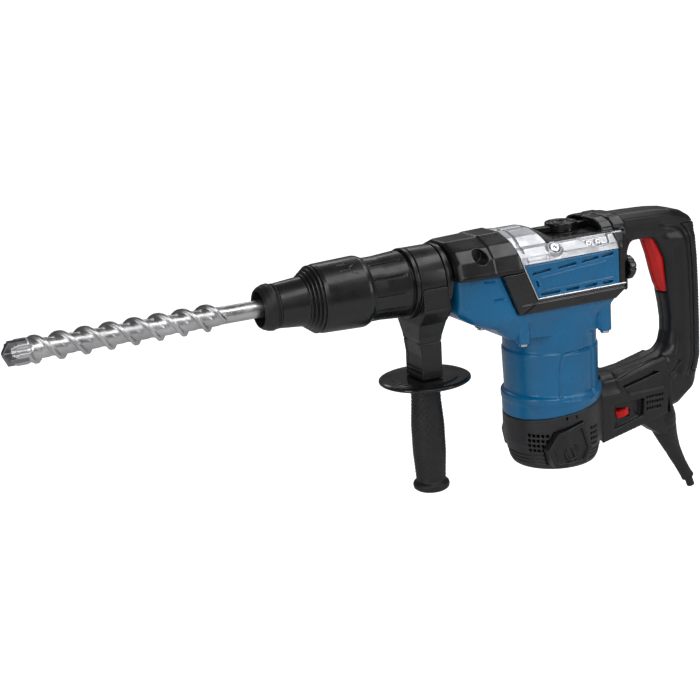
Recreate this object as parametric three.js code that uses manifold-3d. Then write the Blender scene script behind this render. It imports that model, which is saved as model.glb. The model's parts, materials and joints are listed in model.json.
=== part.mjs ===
// Five-kilogram-class rotary and demolition hammer with a slotted-shank drill bit, side handle and D-handle.
// Working frame, in millimetres: X runs along the spindle with the D-handle at +X and the bit at -X,
// Y runs across the tool with the operator's right hand side at +Y, and Z is up. z = 0 is the spindle
// axis and x = 0 is the motor axis. The whole group is then raised so that the model's origin is the
// centre of the motor cap's flat underside.
import * as THREE from 'three';
import { mergeVertices } from 'three/addons/utils/BufferGeometryUtils.js';
import Module from 'manifold-3d';

const wasm = await Module();
wasm.setup();

// ---------------------------------------------------------------- driving dimensions
const SPINDLE_HEIGHT = 205; // spindle axis above the motor cap's underside
const GAP = 0.3; // clearance between faces that rest on each other
const FINE = 24; // segments round a large turned part
const COARSE = 14; // segments round a small turned part
const SMALL = 8; // segments round a pin or screw

const BIT = {
  shankEnd: -211,
  shankR: 9,
  neckStart: -290,
  neckR: 8,
  fluteStart: -335,
  fluteEnd: -513.7,
  landR: 12.3,
  lead: 44,
  tip: -535,
};
const GROOVE = { rear: -227, front: -251, floor: 6.8, halfHeight: 3.7 }; // closed grooves in the bit shank
const PIN = { rear: -238, front: -250, r: 3.4, offset: 10.5 }; // locking pins
const HOLDER = { front: -285, step: -226, rear: -160.3, slimR: 13.9, r: 20, boreR: 9.3 };
const TUBE = { front: -160, rear: -20, r: 22, boreR: 17 };
const SLEEVE = { front: -249, rear: -200 };
const BARREL = { front: -203, rear: -117.5, boreR: 24, neckR: 28, r: 30 };
const CLAMP = { x: -140.5, front: -153.7, rear: -127.6, r: 33 };
const GUARD = { top: -94, bottom: -97, r: 44 };
const GRIP = { bottom: -208, boreR: 4.4 };
const NOSE = { front: -119.5, rear: -60, side: 50, frontSide: 42 };
const GEARCASE = { front: -59.7, rear: 65, split: -26, side: 43.5 };
const RING_ROOM = 35.3; // radius of the space round the bevel ring gear
const COVER = { inner: 43.8, outer: 50 };
const TRIM = { inner: 43.8, outer: 51.5 };
const MOTOR = { r: 50, capR: 52, top: -62, waist: -37, seamFront: -148, seamRear: -138, stackR: 43.5 };
const CAP = { bottom: -205, chamferTop: -179, chamferR: 44, footR: 40 };
const KNOB = { x: 18.5, r: 15.5, wing: 29.5, bottom: 24.8, top: 33.4 };
const HANDLE = { half: 18, rootHalf: 47, armHalf: 20 };
const TRIGGER = { half: 9 };

const ARMATURE = { x: 0, teeth: 8, module: 1.15, top: -22, bottom: -54, shaftR: 5 };
const CRANK = { x: 31.6, teeth: 47, module: 1.15, top: -24, bottom: -30, throw: 13, pinR: 4.8 };
const COMPOUND = { x: -25.3, teeth: 36, module: 1.15, top: -46, bottom: -52 };
const REDUCTION = { teeth: 10, module: 1.25, top: -37, bottom: -44 };
const BEVEL_SHAFT = { x: -52.8, teeth: 34, module: 1.25, top: -38, bottom: -44 };
const BEVEL = { pinionTeeth: 11, ringTeeth: 41, outer: 34, inner: 25, addendum: 0.9, dedendum: 1.5 };
const CONROD = { wristX: -43.4, halfHeight: 4, wristR: 4 };

const FINISH = {
  blue: { color: 0x0f5c9a, roughness: 0.42, metalness: 0.1 },
  black: { color: 0x26272a, roughness: 0.5, metalness: 0 },
  darkGrey: { color: 0x414245, roughness: 0.55, metalness: 0 },
  rubber: { color: 0x1c1c1e, roughness: 0.85, metalness: 0 },
  red: { color: 0xc9130f, roughness: 0.4, metalness: 0 },
  magnesium: { color: 0xb6b8bd, roughness: 0.35, metalness: 0.9 },
  steel: { color: 0xa9abae, roughness: 0.28, metalness: 1 },
  darkSteel: { color: 0x66686b, roughness: 0.4, metalness: 1 },
  carbide: { color: 0x77787c, roughness: 0.35, metalness: 0.9 },
  copper: { color: 0xb0683a, roughness: 0.35, metalness: 1 },
  carbon: { color: 0x2b2b2b, roughness: 0.7, metalness: 0.2 },
};

// ---------------------------------------------------------------- solids
const WELD = 1e-4;

// A closed three.js geometry as a solid, with its faces pointing out.
function toSolid(geometry) {
  const bare = geometry.clone();
  bare.deleteAttribute('normal');
  bare.deleteAttribute('uv');
  const merged = mergeVertices(bare, WELD);
  const position = merged.attributes.position;
  const corners = [new THREE.Vector3(), new THREE.Vector3(), new THREE.Vector3()];
  const triangles = [];
  let volume = 0;
  for (let i = 0; i < merged.index.count; i += 3) {
    const [a, b, c] = [0, 1, 2].map((k) => merged.index.getX(i + k));
    if (a === b || b === c || c === a) {
      continue;
    }
    triangles.push(a, b, c);
    [a, b, c].forEach((vertex, k) => corners[k].fromBufferAttribute(position, vertex));
    volume += corners[0].dot(corners[1].clone().cross(corners[2]));
  }
  if (volume < 0) {
    triangles.reverse();
  }
  const mesh = new wasm.Mesh({
    numProp: 3,
    vertProperties: new Float32Array(position.array),
    triVerts: new Uint32Array(triangles),
  });
  return new wasm.Manifold(mesh);
}

const join = (first, ...others) => others.reduce((sum, other) => sum.add(other), first);
const cut = (first, ...others) => others.reduce((rest, other) => rest.subtract(other), first);

function toGeometry(solid) {
  const mesh = solid.getMesh();
  const geometry = new THREE.BufferGeometry();
  const count = mesh.numProp;
  const positions = [];
  for (let i = 0; i < mesh.vertProperties.length; i += count) {
    positions.push(...mesh.vertProperties.slice(i, i + 3));
  }
  geometry.setAttribute('position', new THREE.Float32BufferAttribute(positions, 3));
  geometry.setIndex(Array.from(mesh.triVerts));
  geometry.computeVertexNormals();
  return geometry;
}

// Turned part from [along, radius] points. A profile that doesn't start on the axis closes on itself.
function lathe(profile, segments) {
  const points = profile.map(([along, radius]) => new THREE.Vector2(radius, along));
  if (profile[0][1] > 0) {
    points.push(points[0].clone());
  }
  return new THREE.LatheGeometry(points, segments);
}

const latheX = (profile, segments = FINE) => toSolid(lathe(profile, segments).rotateZ(-Math.PI / 2));
const latheZ = (profile, segments = FINE) => toSolid(lathe(profile, segments).rotateX(Math.PI / 2));

const tube = (from, to, outer, inner) => [[from, outer], [to, outer], [to, inner], [from, inner]];

const UNIT = {
  x: new THREE.Vector3(1, 0, 0),
  y: new THREE.Vector3(0, 1, 0),
  z: new THREE.Vector3(0, 0, 1),
};
const PLANE = { x: [UNIT.y, UNIT.z], y: [UNIT.z, UNIT.x], z: [UNIT.x, UNIT.y] };

// Outline extruded along an axis. Outlines across X are in (y, z), across Y in (z, x), across Z in (x, y).
function prism(axis, shape, from, to, steps = 1, curveSegments = 2) {
  const options = { depth: to - from, steps, bevelEnabled: false, curveSegments };
  const geometry = new THREE.ExtrudeGeometry(shape, options);
  geometry.applyMatrix4(new THREE.Matrix4().makeBasis(...PLANE[axis], UNIT[axis]));
  geometry.translate(...UNIT[axis].clone().multiplyScalar(from).toArray());
  return geometry;
}

const slab = (axis, shape, from, to) => toSolid(prism(axis, shape, from, to));

function outline(points) {
  return new THREE.Shape(points.map(([a, b]) => new THREE.Vector2(a, b)));
}

// The same points written as (x, z) for an outline across Y.
const sideOutline = (points) => outline(points.map(([x, z]) => [z, x]));

// Closed outline with every corner rounded by up to the given reach.
function roundedOutline(points, reach) {
  const corners = points.map(([a, b]) => new THREE.Vector2(a, b));
  const shape = new THREE.Shape();
  corners.forEach((corner, i) => {
    const before = corners[(i + corners.length - 1) % corners.length];
    const after = corners[(i + 1) % corners.length];
    const start = corner.clone().lerp(before, Math.min(0.45, reach / corner.distanceTo(before)));
    const end = corner.clone().lerp(after, Math.min(0.45, reach / corner.distanceTo(after)));
    if (i === 0) {
      shape.moveTo(start.x, start.y);
    } else {
      shape.lineTo(start.x, start.y);
    }
    shape.quadraticCurveTo(corner.x, corner.y, end.x, end.y);
  });
  shape.closePath();
  return shape;
}

// Outline moved outwards by a distance, with mitred corners. The points run anticlockwise.
function grow(points, distance) {
  return points.map((point, i) => {
    const here = new THREE.Vector2(...point);
    const before = new THREE.Vector2(...points[(i + points.length - 1) % points.length]);
    const after = new THREE.Vector2(...points[(i + 1) % points.length]);
    const normals = [here.clone().sub(before), after.clone().sub(here)].map((edge) => {
      edge.normalize();
      return new THREE.Vector2(edge.y, -edge.x);
    });
    const mitre = normals[0].clone().add(normals[1]);
    mitre.multiplyScalar(distance / (1 + normals[0].dot(normals[1])));
    return here.add(mitre).toArray();
  });
}

function block(x0, x1, y0, y1, z0, z1) {
  const geometry = new THREE.BoxGeometry(x1 - x0, y1 - y0, z1 - z0);
  geometry.translate((x0 + x1) / 2, (y0 + y1) / 2, (z0 + z1) / 2);
  return toSolid(geometry);
}

// Round bar along an axis. The centre is given in the two other coordinates, in x, y, z order.
function bar(axis, radius, from, to, centre = [0, 0], segments = COARSE) {
  const geometry = new THREE.CylinderGeometry(radius, radius, to - from, segments);
  const middle = (from + to) / 2;
  if (axis === 'x') {
    geometry.rotateZ(-Math.PI / 2);
    geometry.translate(middle, ...centre);
  } else if (axis === 'y') {
    geometry.translate(centre[0], middle, centre[1]);
  } else {
    geometry.rotateX(Math.PI / 2);
    geometry.translate(...centre, middle);
  }
  return toSolid(geometry);
}

// Moves every corner of a geometry by a function of its place.
function reshape(geometry, move) {
  const position = geometry.attributes.position;
  const corner = new THREE.Vector3();
  for (let i = 0; i < position.count; i += 1) {
    corner.fromBufferAttribute(position, i);
    position.setXYZ(i, ...move(corner));
  }
  return geometry;
}

// Round bar along a curve, whose radius is a function of how far along it is.
function bentBar(curve, radiusAt, segments, steps) {
  const geometry = new THREE.CylinderGeometry(1, 1, 1, segments, steps);
  const frames = curve.computeFrenetFrames(steps, false);
  return toSolid(
    reshape(geometry, (corner) => {
      const along = THREE.MathUtils.clamp(corner.y + 0.5, 0, 1);
      const step = Math.round(along * steps);
      const radius = radiusAt(along);
      const place = curve.getPointAt(along);
      place.addScaledVector(frames.normals[step], radius * corner.x);
      place.addScaledVector(frames.binormals[step], radius * corner.z);
      return place.toArray();
    }),
  );
}

const mirrored = (solid) => solid.mirror([0, 1, 0]);

// ---------------------------------------------------------------- gears
const TOOTH = { addendum: 0.62, dedendum: 0.95, tip: 0.1, pitch: 0.19, root: 0.28 };

// Spur gear outline with straight-flanked teeth. Its first tooth, or the gap before it, is at firstAngle.
function gearOutline({ teeth, module }, firstAngle) {
  const pitchR = (teeth * module) / 2;
  const step = (2 * Math.PI) / teeth;
  const rootR = pitchR - TOOTH.dedendum * module;
  const tipR = pitchR + TOOTH.addendum * module;
  const points = [];
  for (let tooth = 0; tooth < teeth; tooth += 1) {
    const middle = firstAngle + tooth * step;
    [
      [rootR, -TOOTH.root],
      [tipR, -TOOTH.tip],
      [tipR, TOOTH.tip],
      [rootR, TOOTH.root],
    ].forEach(([radius, share]) => {
      const angle = middle + share * step;
      points.push([radius * Math.cos(angle), radius * Math.sin(angle)]);
    });
  }
  return outline(points);
}

function spurGear(gear, x, firstAngle) {
  return slab('z', gearOutline(gear, firstAngle), gear.bottom, gear.top).translate([x, 0, 0]);
}

const halfTooth = (teeth) => Math.PI / teeth;

// Bevel pinion: a gear outline at its outer end, shrinking towards the apex on the spindle axis.
function bevelPinion() {
  const ratio = BEVEL.pinionTeeth / BEVEL.ringTeeth;
  const gear = { teeth: BEVEL.pinionTeeth, module: (2 * BEVEL.outer * ratio) / BEVEL.pinionTeeth };
  const geometry = prism('z', gearOutline(gear, Math.PI), -BEVEL.outer, -BEVEL.inner);
  reshape(geometry, ({ x, y, z }) => [(-x * z) / BEVEL.outer, (-y * z) / BEVEL.outer, z]);
  return toSolid(geometry).translate([BEVEL_SHAFT.x, 0, 0]);
}

// Bevel ring gear: teeth on the rear face of a disc round the hammer tube, pointing at the apex.
function bevelRingGear() {
  const depth = (BEVEL.outer * BEVEL.pinionTeeth) / BEVEL.ringTeeth;
  const root = depth + BEVEL.dedendum;
  const pitch = (2 * Math.PI * BEVEL.outer) / BEVEL.ringTeeth;
  const innerR = TUBE.r + GAP;
  const coneAt = (radius) => (-root * radius) / BEVEL.outer;
  const rim = BEVEL.outer + 0.5;
  const back = -root - 5;
  const disc = latheX([[coneAt(rim), rim], [back, rim], [back, innerR], [coneAt(innerR), innerR]], 41);
  const section = outline([
    [-root - 0.5, -TOOTH.root * pitch],
    [-depth + BEVEL.addendum, -TOOTH.tip * pitch],
    [-depth + BEVEL.addendum, TOOTH.tip * pitch],
    [-root - 0.5, TOOTH.root * pitch],
  ]);
  const geometry = prism('z', section, BEVEL.inner, BEVEL.outer);
  reshape(geometry, ({ x, y, z }) => [(x * z) / BEVEL.outer, (y * z) / BEVEL.outer, z]);
  const tooth = toSolid(geometry);
  const teeth = [];
  for (let i = 0; i < BEVEL.ringTeeth; i += 1) {
    teeth.push(tooth.rotate([180 + ((i + 0.5) * 360) / BEVEL.ringTeeth, 0, 0]));
  }
  return join(disc, ...teeth).translate([BEVEL_SHAFT.x, 0, 0]);
}

// ---------------------------------------------------------------- drill bit and tool holder
function fluteOutline() {
  const lobe = [
    [BIT.neckR * 0.92, 0],
    [BIT.neckR * 0.92, 34],
    [BIT.landR, 62],
    [BIT.landR, 90],
    [BIT.landR, 106],
    [BIT.neckR * 1.06, 132],
  ];
  const points = [0, 180].flatMap((turn) =>
    lobe.map(([radius, degrees]) => {
      const angle = THREE.MathUtils.degToRad(degrees + turn);
      return [radius * Math.cos(angle), radius * Math.sin(angle)];
    }),
  );
  return outline(points);
}

function drillBit() {
  const steps = 44;
  const fluted = prism('x', fluteOutline(), BIT.fluteEnd, BIT.fluteStart, steps);
  reshape(fluted, ({ x, y, z }) => {
    const turn = (2 * Math.PI * x) / BIT.lead;
    return [x, y * Math.cos(turn) - z * Math.sin(turn), y * Math.sin(turn) + z * Math.cos(turn)];
  });
  const shank = latheX(
    [
      [BIT.fluteStart - 14, 0],
      [BIT.fluteStart - 2, BIT.neckR],
      [BIT.neckStart, BIT.neckR],
      [BIT.neckStart + 2, BIT.shankR],
      [BIT.shankEnd - 2, BIT.shankR],
      [BIT.shankEnd, BIT.shankR - 1.5],
      [BIT.shankEnd, 0],
    ],
    COARSE,
  );
  const grooves = [-1, 1].map((side) => {
    const near = Math.min(side * GROOVE.floor, side * 12);
    const far = Math.max(side * GROOVE.floor, side * 12);
    return block(GROOVE.front, GROOVE.rear, near, far, -GROOVE.halfHeight, GROOVE.halfHeight);
  });
  return cut(join(toSolid(fluted), shank), ...grooves);
}

// Four-cutter head: two crossed roof-shaped blades on a short collar.
function carbideHead() {
  const blade = (half, tip) =>
    sideOutline([
      [-514, -half],
      [-514, half],
      [-526, half],
      [tip, 2],
      [tip, -2],
      [-526, -half],
    ]);
  const main = slab('y', blade(12.5, BIT.tip), -2.4, 2.4);
  const cross = slab('y', blade(12, BIT.tip + 1.5), -2.2, 2.2).rotate([90, 0, 0]);
  const collar = bar('x', 9.5, -521, -514);
  return join(collar, main, cross).rotate([25, 0, 0]);
}

function dustCap() {
  return latheX([
    [-298.5, 16.5],
    [-298, 18],
    [-294, 20.6],
    [-288, 21.5],
    [-282, 21.3],
    [-277.2, 19.6],
    [-277.2, 14.2],
    [-285.3, 14.2],
    [-285.3, 9.5],
    [-291, 9.5],
    [-297, 15.3],
  ]);
}

// Cone behind the dust cap, ending in four stepped rings.
function chuckCone() {
  const profile = [
    [-276.9, 19.8],
    [-273.5, 19.8],
    [-273, 21.6],
    [-262.5, 22.6],
  ];
  for (let ring = 0; ring < 4; ring += 1) {
    const x = -262 + ring * 3.2;
    const radius = 24 + ring * 2.2;
    profile.push([x, radius - 0.8], [x + 0.8, radius + 0.8]);
  }
  profile.push([-249.3, 30.5], [-249.3, 17.6], [-251, 17.6], [-251, 14.2], [-276.9, 14.2]);
  return latheX(profile);
}

// The rear lip of the sleeve slides over the front of the ribbed barrel.
function lockingSleeve() {
  const lip = BARREL.r + 0.6;
  return latheX([
    [SLEEVE.front, 31.2],
    [SLEEVE.front + 3, 32],
    [SLEEVE.rear - 4, 33.5],
    [SLEEVE.rear, lip + 0.9],
    [SLEEVE.rear, lip],
    [SLEEVE.rear - 16, lip],
    [SLEEVE.rear - 17, 24.4],
    [SLEEVE.front + 9.5, 24.4],
    [SLEEVE.front + 9, 17.6],
    [SLEEVE.front, 17.6],
  ]);
}

class Helix extends THREE.Curve {
  constructor(radius, from, to, turns) {
    super();
    Object.assign(this, { radius, from, to, turns });
  }

  getPoint(t, target = new THREE.Vector3()) {
    const angle = 2 * Math.PI * this.turns * t;
    const x = this.from + (this.to - this.from) * t;
    return target.set(x, this.radius * Math.cos(angle), this.radius * Math.sin(angle));
  }
}

const sleeveSpring = () => bentBar(new Helix(22.6, -224, -206, 2), () => 1.1, 5, 20);

const lockingPin = (side) => bar('x', PIN.r, PIN.front, PIN.rear, [side * PIN.offset, 0], SMALL);

function toolHolder() {
  const body = latheX([
    [HOLDER.front, HOLDER.slimR],
    [HOLDER.step, HOLDER.slimR],
    [HOLDER.step, HOLDER.r],
    [HOLDER.rear, HOLDER.r],
    [HOLDER.rear, 14.4],
    [-180, 14.4],
    [-180, 11.2],
    [BIT.shankEnd + 2, 11.2],
    [BIT.shankEnd + 2, HOLDER.boreR],
    [HOLDER.front, HOLDER.boreR],
  ]);
  const window = block(PIN.front - 0.4, PIN.rear + 0.4, -18, 18, -PIN.r - GAP, PIN.r + GAP);
  return cut(body, window);
}

const hammerTube = () => latheX(tube(TUBE.front, TUBE.rear, TUBE.r, TUBE.boreR));

// ---------------------------------------------------------------- striking train
function impactBolt() {
  return latheX(
    [
      [-201, 0],
      [-201, 9.6],
      [-199, 10.8],
      [-172, 10.8],
      [-172, 14],
      [-158, 14],
      [-158, 11],
      [-148, 9.5],
      [-148, 0],
    ],
    COARSE,
  );
}

function striker() {
  return latheX(
    [
      [-145, 0],
      [-145, 9],
      [-141, 9.6],
      [-138, 16.7],
      [-124, 16.7],
      [-124, 15],
      [-121, 15],
      [-121, 16.7],
      [-105, 16.7],
      [-105, 0],
    ],
    COARSE,
  );
}

function piston() {
  const cup = latheX(
    [
      [-70, 0],
      [-70, 16.7],
      [-66, 16.7],
      [-66, 15.2],
      [-63, 15.2],
      [-63, 16.7],
      [-36, 16.7],
      [-36, 12],
      [-60, 12],
      [-60, 0],
    ],
    COARSE,
  );
  return cut(cup, bar('z', CONROD.wristR + GAP, -20, 20, [CONROD.wristX, 0], SMALL));
}

const wristPin = () => bar('z', CONROD.wristR, -14, 14, [CONROD.wristX, 0], SMALL);

function conrod() {
  const { halfHeight, wristX } = CONROD;
  const crankX = CRANK.x - CRANK.throw;
  const eyes = join(
    bar('z', 7.5, -halfHeight, halfHeight, [wristX, 0]),
    bar('z', 10.5, -halfHeight, halfHeight, [crankX, 0]),
    block(wristX, crankX, -4.5, 4.5, -halfHeight, halfHeight),
  );
  return cut(
    eyes,
    bar('z', CONROD.wristR + GAP, -6, 6, [wristX, 0], SMALL),
    bar('z', CRANK.pinR + GAP, -6, 6, [crankX, 0], SMALL),
  );
}

// The crank pin stops just below the connecting rod, so that the loop stays open at that pivot.
function crankGear() {
  const centre = [CRANK.x, 0];
  const pinTop = -CONROD.halfHeight - 1.2;
  return join(
    spurGear(CRANK, CRANK.x, Math.PI + halfTooth(CRANK.teeth)),
    bar('z', 8, -48, -20, centre),
    bar('z', 19, -24.5, -9, centre),
    bar('z', CRANK.pinR, -10, pinTop, [CRANK.x - CRANK.throw, 0], SMALL),
  );
}

function compoundGear() {
  return join(
    spurGear(COMPOUND, COMPOUND.x, halfTooth(COMPOUND.teeth)),
    spurGear({ ...REDUCTION, bottom: COMPOUND.top - 0.5 }, COMPOUND.x, 0),
    bar('z', 4, -55.7, -34, [COMPOUND.x, 0], SMALL),
  );
}

function bevelPinionShaft() {
  return join(
    spurGear(BEVEL_SHAFT, BEVEL_SHAFT.x, halfTooth(BEVEL_SHAFT.teeth)),
    bar('z', 5, -50, -BEVEL.outer + 1, [BEVEL_SHAFT.x, 0]),
    bevelPinion(),
  );
}

const tubeBearing = () => latheX(tube(-40, -31, 30, TUBE.r + GAP));

// ---------------------------------------------------------------- motor
function armatureShaft() {
  const pinion = spurGear(ARMATURE, ARMATURE.x, 0);
  return join(pinion, bar('z', ARMATURE.shaftR, -176, ARMATURE.bottom + 0.5));
}

const boreOnShaft = ARMATURE.shaftR + GAP;
const armatureCore = () => latheZ(tube(-126, -80, 26, boreOnShaft), COARSE);
const commutator = () => latheZ(tube(-150, -134, 15, boreOnShaft), COARSE);
const motorBearing = (bottom) => latheZ(tube(bottom, bottom + 6, 11.6, boreOnShaft), COARSE);

function coolingFan() {
  const blades = [];
  for (let i = 0; i < 9; i += 1) {
    blades.push(block(12, 39, -1, 1, -70, -64.5).rotate([0, 0, i * 40]));
  }
  const hub = latheZ([
    [-72, 40],
    [-72, boreOnShaft],
    [-64.5, boreOnShaft],
    [-64.5, 14],
    [-69.5, 14],
    [-69.5, 40],
  ]);
  return join(hub, ...blades);
}

const stator = () => latheZ(tube(-130, -76, MOTOR.stackR, 27.5));

const carbonBrush = () => block(-4, 4, -32, -15.6, -147, -137);

// ---------------------------------------------------------------- barrel and side handle
function barrelSleeve() {
  const body = latheX([
    [BARREL.front, BARREL.r],
    [-186, BARREL.r],
    [-162, 31.5],
    [-162, 29.5],
    [-158.5, 29.5],
    [-158.5, 33],
    [-154.5, 33],
    [-154.5, BARREL.neckR],
    [-127.2, BARREL.neckR],
    [-127.2, 33],
    [-124.9, 33],
    [-124.9, BARREL.neckR],
    [BARREL.rear, BARREL.neckR],
    [BARREL.rear, BARREL.boreR],
    [BARREL.front, BARREL.boreR],
  ]);
  const grooves = [];
  for (let i = 0; i < 8; i += 1) {
    grooves.push(block(-197, -167, -0.8, 0.8, 28.6, 34).rotate([22.5 + i * 45, 0, 0]));
  }
  return cut(body, ...grooves);
}

const clampBand = () => latheX(tube(CLAMP.front, CLAMP.rear, CLAMP.r - GAP, BARREL.neckR + GAP));

// Saddle under the clamp band, narrowing into a neck that ends on the hand guard.
function sideHandleBracket() {
  const across = outline([
    [-17.5, GUARD.top + GAP],
    [17.5, GUARD.top + GAP],
    [18.5, -52],
    [24, -38],
    [35.5, -24],
    [35.5, -1.5],
    [-35.5, -1.5],
    [-35.5, -24],
    [-24, -38],
    [-18.5, -52],
  ]);
  const along = sideOutline([
    [-151.5, GUARD.top + GAP],
    [-150.5, -70],
    [-154.2, -38],
    [-153.4, -1.5],
    [-127.8, -1.5],
    [-124.4, -30],
    [-129, -56],
    [-129.5, GUARD.top + GAP],
  ]);
  const body = slab('x', across, -158, -120).intersect(slab('y', along, -40, 40));
  return cut(
    body,
    bar('x', CLAMP.r + GAP, -159, -119, [0, 0], FINE),
    bar('z', GRIP.boreR, -110, -20, [CLAMP.x, 0]),
  );
}

function handGuard() {
  const disc = latheZ([
    [GUARD.bottom, GUARD.r],
    [GUARD.top - 1.5, GUARD.r],
    [GUARD.top, 34],
    [GUARD.top, GRIP.boreR],
    [GUARD.bottom, GRIP.boreR],
  ]);
  return disc.translate([CLAMP.x, 0, 0]);
}

function sideGrip() {
  const turned = latheZ(
    [
      [GUARD.bottom - GAP, 15.5],
      [-101, 13.5],
      [-118, 14.2],
      [-142, 16],
      [-170, 16],
      [-196, 14.2],
      [-200, 14.6],
      [-202, 17.7],
      [-206, 17.7],
      [GRIP.bottom, 15],
      [GRIP.bottom, GRIP.boreR],
      [GUARD.bottom - GAP, GRIP.boreR],
    ],
    COARSE,
  );
  return turned.translate([CLAMP.x, 0, 0]);
}

const clampBolt = () => bar('z', GRIP.boreR - GAP, -195, -38, [CLAMP.x, 0], SMALL);

// ---------------------------------------------------------------- gear housing and covers
const COVER_OUTLINE = [
  [-55, 7.6],
  [-41, -25.6],
  [51, -25.6],
  [51, 11.4],
];
const TRIM_OUTLINE = [
  [-80, 3],
  [-62, -38.5],
  [46, -39.5],
  [58, -31],
  [58, -26],
  [-41.6, -26],
  [-55.6, 7.2],
];

const nearSide = (shape, inner, outer) => slab('y', shape, -outer, -inner);

// Space that a side cover and its trim take out of the housings behind them.
function sideSpace() {
  const trim = nearSide(sideOutline(grow(TRIM_OUTLINE, GAP)), TRIM.inner - GAP, 60);
  const cover = nearSide(sideOutline(grow(COVER_OUTLINE, GAP)), COVER.inner - GAP, 60);
  const space = join(trim, cover);
  return join(space, mirrored(space));
}

function noseHousing() {
  const section = outline([
    [-NOSE.side, -4],
    [NOSE.side, -4],
    [NOSE.side, 8],
    [46, 18.5],
    [35, 28.8],
    [15, 36.8],
    [-15, 36.8],
    [-35, 28.8],
    [-46, 18.5],
    [-NOSE.side, 8],
  ]);
  const geometry = prism('x', section, NOSE.front, NOSE.rear, 4);
  reshape(geometry, ({ x, y, z }) => {
    const back = (x - NOSE.front) / (NOSE.rear - NOSE.front);
    const width = THREE.MathUtils.lerp(NOSE.frontSide / NOSE.side, 1, Math.sqrt(back));
    return [x, y * width, z > 0 ? z - 1.2 * (1 - back) : z];
  });
  const sideHoles = [-1, 1].map((side) => bar('y', 7, side * 42 - 12, side * 42 + 12, [-95, 22]));
  return cut(
    toSolid(geometry),
    bar('x', BARREL.neckR + GAP, NOSE.front - 1, BARREL.rear + GAP, [0, 0], FINE),
    bar('x', BARREL.boreR + 0.5, BARREL.rear, NOSE.rear, [0, 0], FINE),
    bar('x', RING_ROOM, -76, NOSE.rear + 1, [0, 0], FINE),
    ...sideHoles,
    sideSpace(),
  );
}

// Turns a part that stands on z = 0 so that it stands on the housing's left sloping flank.
const onFlank = (solid) => solid.rotate([50.2, 0, 0]).translate([-14, -44, 15.2]);

const screwAt = (play) =>
  join(
    bar('z', 5 + play, -play, 4, [0, 0], SMALL),
    bar('z', 2.2 + play, -6 - play, 1, [0, 0], SMALL),
  );

// Magnesium housing: an upturned tub over the hammer tube, with a web that carries the tube bearing.
function gearHousing() {
  const { front, rear, split, side } = GEARCASE;
  const screwSpace = onFlank(screwAt(GAP));
  const flank = [
    [side, split],
    [side, 7],
    [COVER.outer, 8.2],
    [38.5, 22],
  ];
  const mirror = flank.map(([y, z]) => [-y, z]).reverse();
  const lower = slab('x', outline([...flank, ...mirror]), front, rear);
  const crown = outline([
    [38, 21],
    [34, 27.6],
    [18, 34.4],
    [-18, 34.4],
    [-34, 27.6],
    [-38, 21],
  ]);
  const upper = slab('x', crown, front, -24.3);
  const ring = latheX([[-57, 36.2], [-50, 36.2], [-50, 30], [-57, 30]]);
  const cavity = block(-30.9, rear - 3.5, -37, 37, split - 1, 19.6);
  const frontCavity = block(front - 1, -40.1, -37, 37, split - 1, 19.6);
  const roof = bar('x', 31, front - 1, -40.1, [0, 0], FINE);
  const bearingSeat = bar('x', 30.3, -42, -30, [0, 0], FINE);
  const tubeEnd = bar('x', TUBE.r + 0.6, -42, TUBE.rear + 1, [0, 0], FINE);
  return cut(
    join(lower, upper, ring),
    cavity,
    frontCavity,
    roof,
    bearingSeat,
    tubeEnd,
    screwSpace,
    mirrored(screwSpace),
    block(-80, 80, -60, 60, split - 40, split),
    bar('z', 5.6, 15, 40, [KNOB.x, 0]),
    sideSpace(),
  );
}

function sideCover() {
  const slots = [];
  [
    [-45.5, -25],
    [-17, 3],
    [9.5, 28],
    [32.5, 45],
  ].forEach(([from, to]) => slots.push(block(from, to, -60, -40, 1.4, 4.4)));
  [
    [-36.5, -15.5],
    [-9, 6],
    [12.5, 26],
    [32.5, 45],
  ].forEach(([from, to]) => slots.push(block(from, to, -60, -40, -23.4, -20.6)));
  slots.push(block(-41.5, -39, -60, -40, -15, -8));
  return cut(nearSide(sideOutline(COVER_OUTLINE), COVER.inner, COVER.outer), ...slots);
}

const sideTrim = () => nearSide(sideOutline(TRIM_OUTLINE), TRIM.inner, TRIM.outer);

// Low cover on top of the housing, with a recess for the knob and an arched hood behind it.
function topCover() {
  const plate = slab('x', outline([[-37, 22.3], [37, 22.3], [32.5, 26], [-32.5, 26]]), -24, 57);
  const arch = [[33, 22.5], [31.5, 29], [23, 34.8]];
  const room = [[27.5, 26], [26.5, 29], [20, 31.8]];
  const across = (half) => outline([...half, ...half.map(([y, z]) => [-y, z]).reverse()]);
  const hood = cut(slab('x', across(arch), 44, 57), slab('x', across(room), 43, 54));
  return cut(
    join(plate, hood),
    bar('z', KNOB.r + 1.8, KNOB.bottom - 0.4, 31, [KNOB.x, 0], FINE),
    bar('z', 5.6, 20, 40, [KNOB.x, 0]),
  );
}

function modeKnob() {
  const disc = latheZ(
    [
      [KNOB.bottom, 0],
      [KNOB.bottom, KNOB.r],
      [KNOB.top - 1.5, KNOB.r],
      [KNOB.top, KNOB.r - 1.5],
      [KNOB.top, 5.5],
      [KNOB.top - 2, 4],
      [KNOB.top - 2, 0],
    ],
    FINE,
  );
  const wings = block(-KNOB.wing, KNOB.wing, -3.5, 3.5, KNOB.bottom + 1.8, KNOB.top - 3);
  return join(disc, wings, bar('z', 5, 17, 29)).translate([KNOB.x, 0, 0]);
}

const coverScrew = () => onFlank(cut(screwAt(0), bar('z', 2.4, 2, 5, [0, 0], 6)));

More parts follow.
